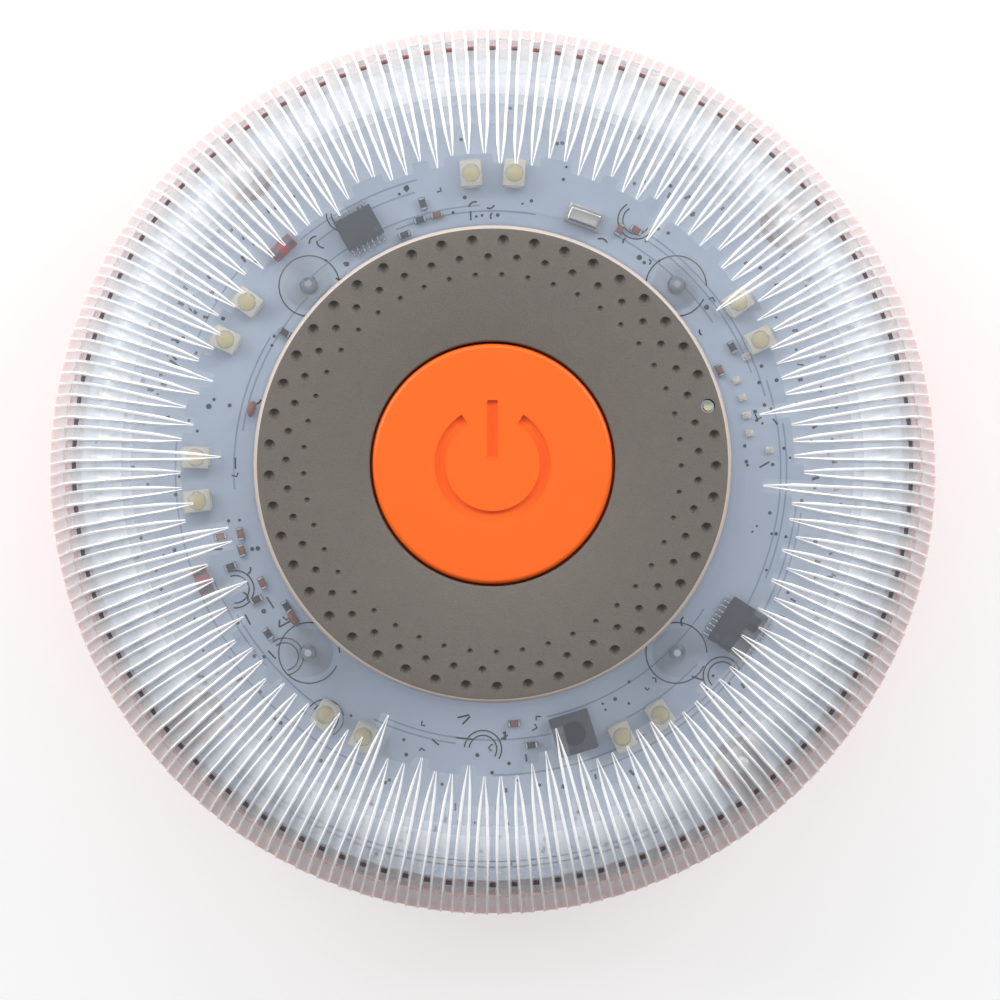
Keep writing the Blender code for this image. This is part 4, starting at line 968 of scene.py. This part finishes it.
def make_floor():
    """A pale, slightly glossy floor. It is clear from below and open inside the foot ring, to show the underside."""
    mesh = bpy.data.meshes.new("floor")
    bm = bmesh.new()
    turned(bm, [(4.0, 0), (FLOOR_HOLE, 0)], 96, closed=False)
    bm.to_mesh(mesh)
    bm.free()
    floor = bpy.data.objects.new("floor", mesh)
    bpy.context.scene.collection.objects.link(floor)
    material = bpy.data.materials.new("floor")
    material.use_nodes = True
    nodes, links = material.node_tree.nodes, material.node_tree.links
    shader = nodes["Principled BSDF"]
    shader.inputs["Base Color"].default_value = (0.94, 0.94, 0.94, 1)
    shader.inputs["Roughness"].default_value = 0.3
    glow = nodes.new("ShaderNodeEmission")
    paths = nodes.new("ShaderNodeLightPath")
    share = nodes.new("ShaderNodeMath")
    share.operation = "MULTIPLY"
    share.inputs[1].default_value = 0.62
    mix = nodes.new("ShaderNodeMixShader")
    links.new(paths.outputs["Is Camera Ray"], share.inputs[0])
    links.new(share.outputs["Value"], mix.inputs["Fac"])
    links.new(shader.outputs["BSDF"], mix.inputs[1])
    links.new(glow.outputs["Emission"], mix.inputs[2])
    through = nodes.new("ShaderNodeBsdfTransparent")
    side = nodes.new("ShaderNodeNewGeometry")
    one_way = nodes.new("ShaderNodeMixShader")
    links.new(side.outputs["Backfacing"], one_way.inputs["Fac"])
    links.new(mix.outputs["Shader"], one_way.inputs[1])
    links.new(through.outputs["BSDF"], one_way.inputs[2])
    links.new(one_way.outputs["Shader"], nodes["Material Output"].inputs["Surface"])
    mesh.materials.append(material)
    floor.location.z = -0.05 * MM


def softbox(name, azimuth, elevation, distance, size, power):
    """An area lamp that faces the object, at that angle round and above it."""
    lamp = bpy.data.lights.new(name, "AREA")
    lamp.shape = "RECTANGLE"
    lamp.size, lamp.size_y = size
    lamp.energy = power
    obj = bpy.data.objects.new(name, lamp)
    bpy.context.scene.collection.objects.link(obj)
    away = polar(math.cos(math.radians(elevation)), math.radians(azimuth), math.sin(math.radians(elevation)))
    obj.location = away * distance + Vector((0, 0, BOARD_TOP))
    obj.rotation_mode = "QUATERNION"
    obj.rotation_quaternion = (-away).to_track_quat("-Z", "Y")


def make_lights():
    softbox("left_softbox", 150, 30, 0.9, (0.6, 0.3), 5.6)
    softbox("right_softbox", 34, 30, 0.9, (0.5, 0.26), 4.8)
    softbox("back_softbox", 92, 45, 1.0, (0.9, 0.5), 4.2)
    softbox("overhead", 265, 78, 1.3, (0.9, 0.9), 1.6)
    softbox("under_softbox", 240, -50, 0.7, (0.6, 0.6), 3.2)
    world = bpy.data.worlds.new("studio")
    bpy.context.scene.world = world
    world.use_nodes = True
    nodes, links = world.node_tree.nodes, world.node_tree.links
    room = nodes["Background"]
    room.inputs["Color"].default_value = (0.93, 0.96, 1.0, 1)
    room.inputs["Strength"].default_value = 0.26
    white = nodes.new("ShaderNodeBackground")
    white.inputs["Color"].default_value = (1, 1, 1, 1)
    white.inputs["Strength"].default_value = 1.0
    paths = nodes.new("ShaderNodeLightPath")
    mix = nodes.new("ShaderNodeMixShader")
    links.new(paths.outputs["Is Camera Ray"], mix.inputs["Fac"])
    links.new(room.outputs["Background"], mix.inputs[1])
    links.new(white.outputs["Background"], mix.inputs[2])
    links.new(mix.outputs["Shader"], nodes["World Output"].inputs["Surface"])


def make_camera():
    """Looks down on the lens along its axis, tipped by a degree and a half."""
    data = bpy.data.cameras.new("camera")
    data.lens = 204
    data.sensor_width = 36
    data.clip_start, data.clip_end = 0.01, 20
    camera = bpy.data.objects.new("camera", data)
    bpy.context.scene.collection.objects.link(camera)
    tip = math.radians(1.5)
    back = Vector((0, -math.sin(tip), math.cos(tip)))
    aim = Vector((0.9 * MM, -3.7 * MM, LENS_LOW))
    camera.location = aim + back * 0.702
    camera.rotation_mode = "QUATERNION"
    camera.rotation_quaternion = (-back).to_track_quat("-Z", "Y")
    bpy.context.scene.camera = camera


def main():
    make_camera()
    dress_nodes()
    make_lens()
    make_lens_posts()
    make_plate()
    make_button()
    make_spring()
    make_leds()
    make_board_blocks()
    make_board_print(make_small_parts())
    make_base()
    make_foot_ring()
    make_screws()
    make_floor()
    make_lights()
    bpy.context.scene.view_settings.view_transform = "Standard"


main()
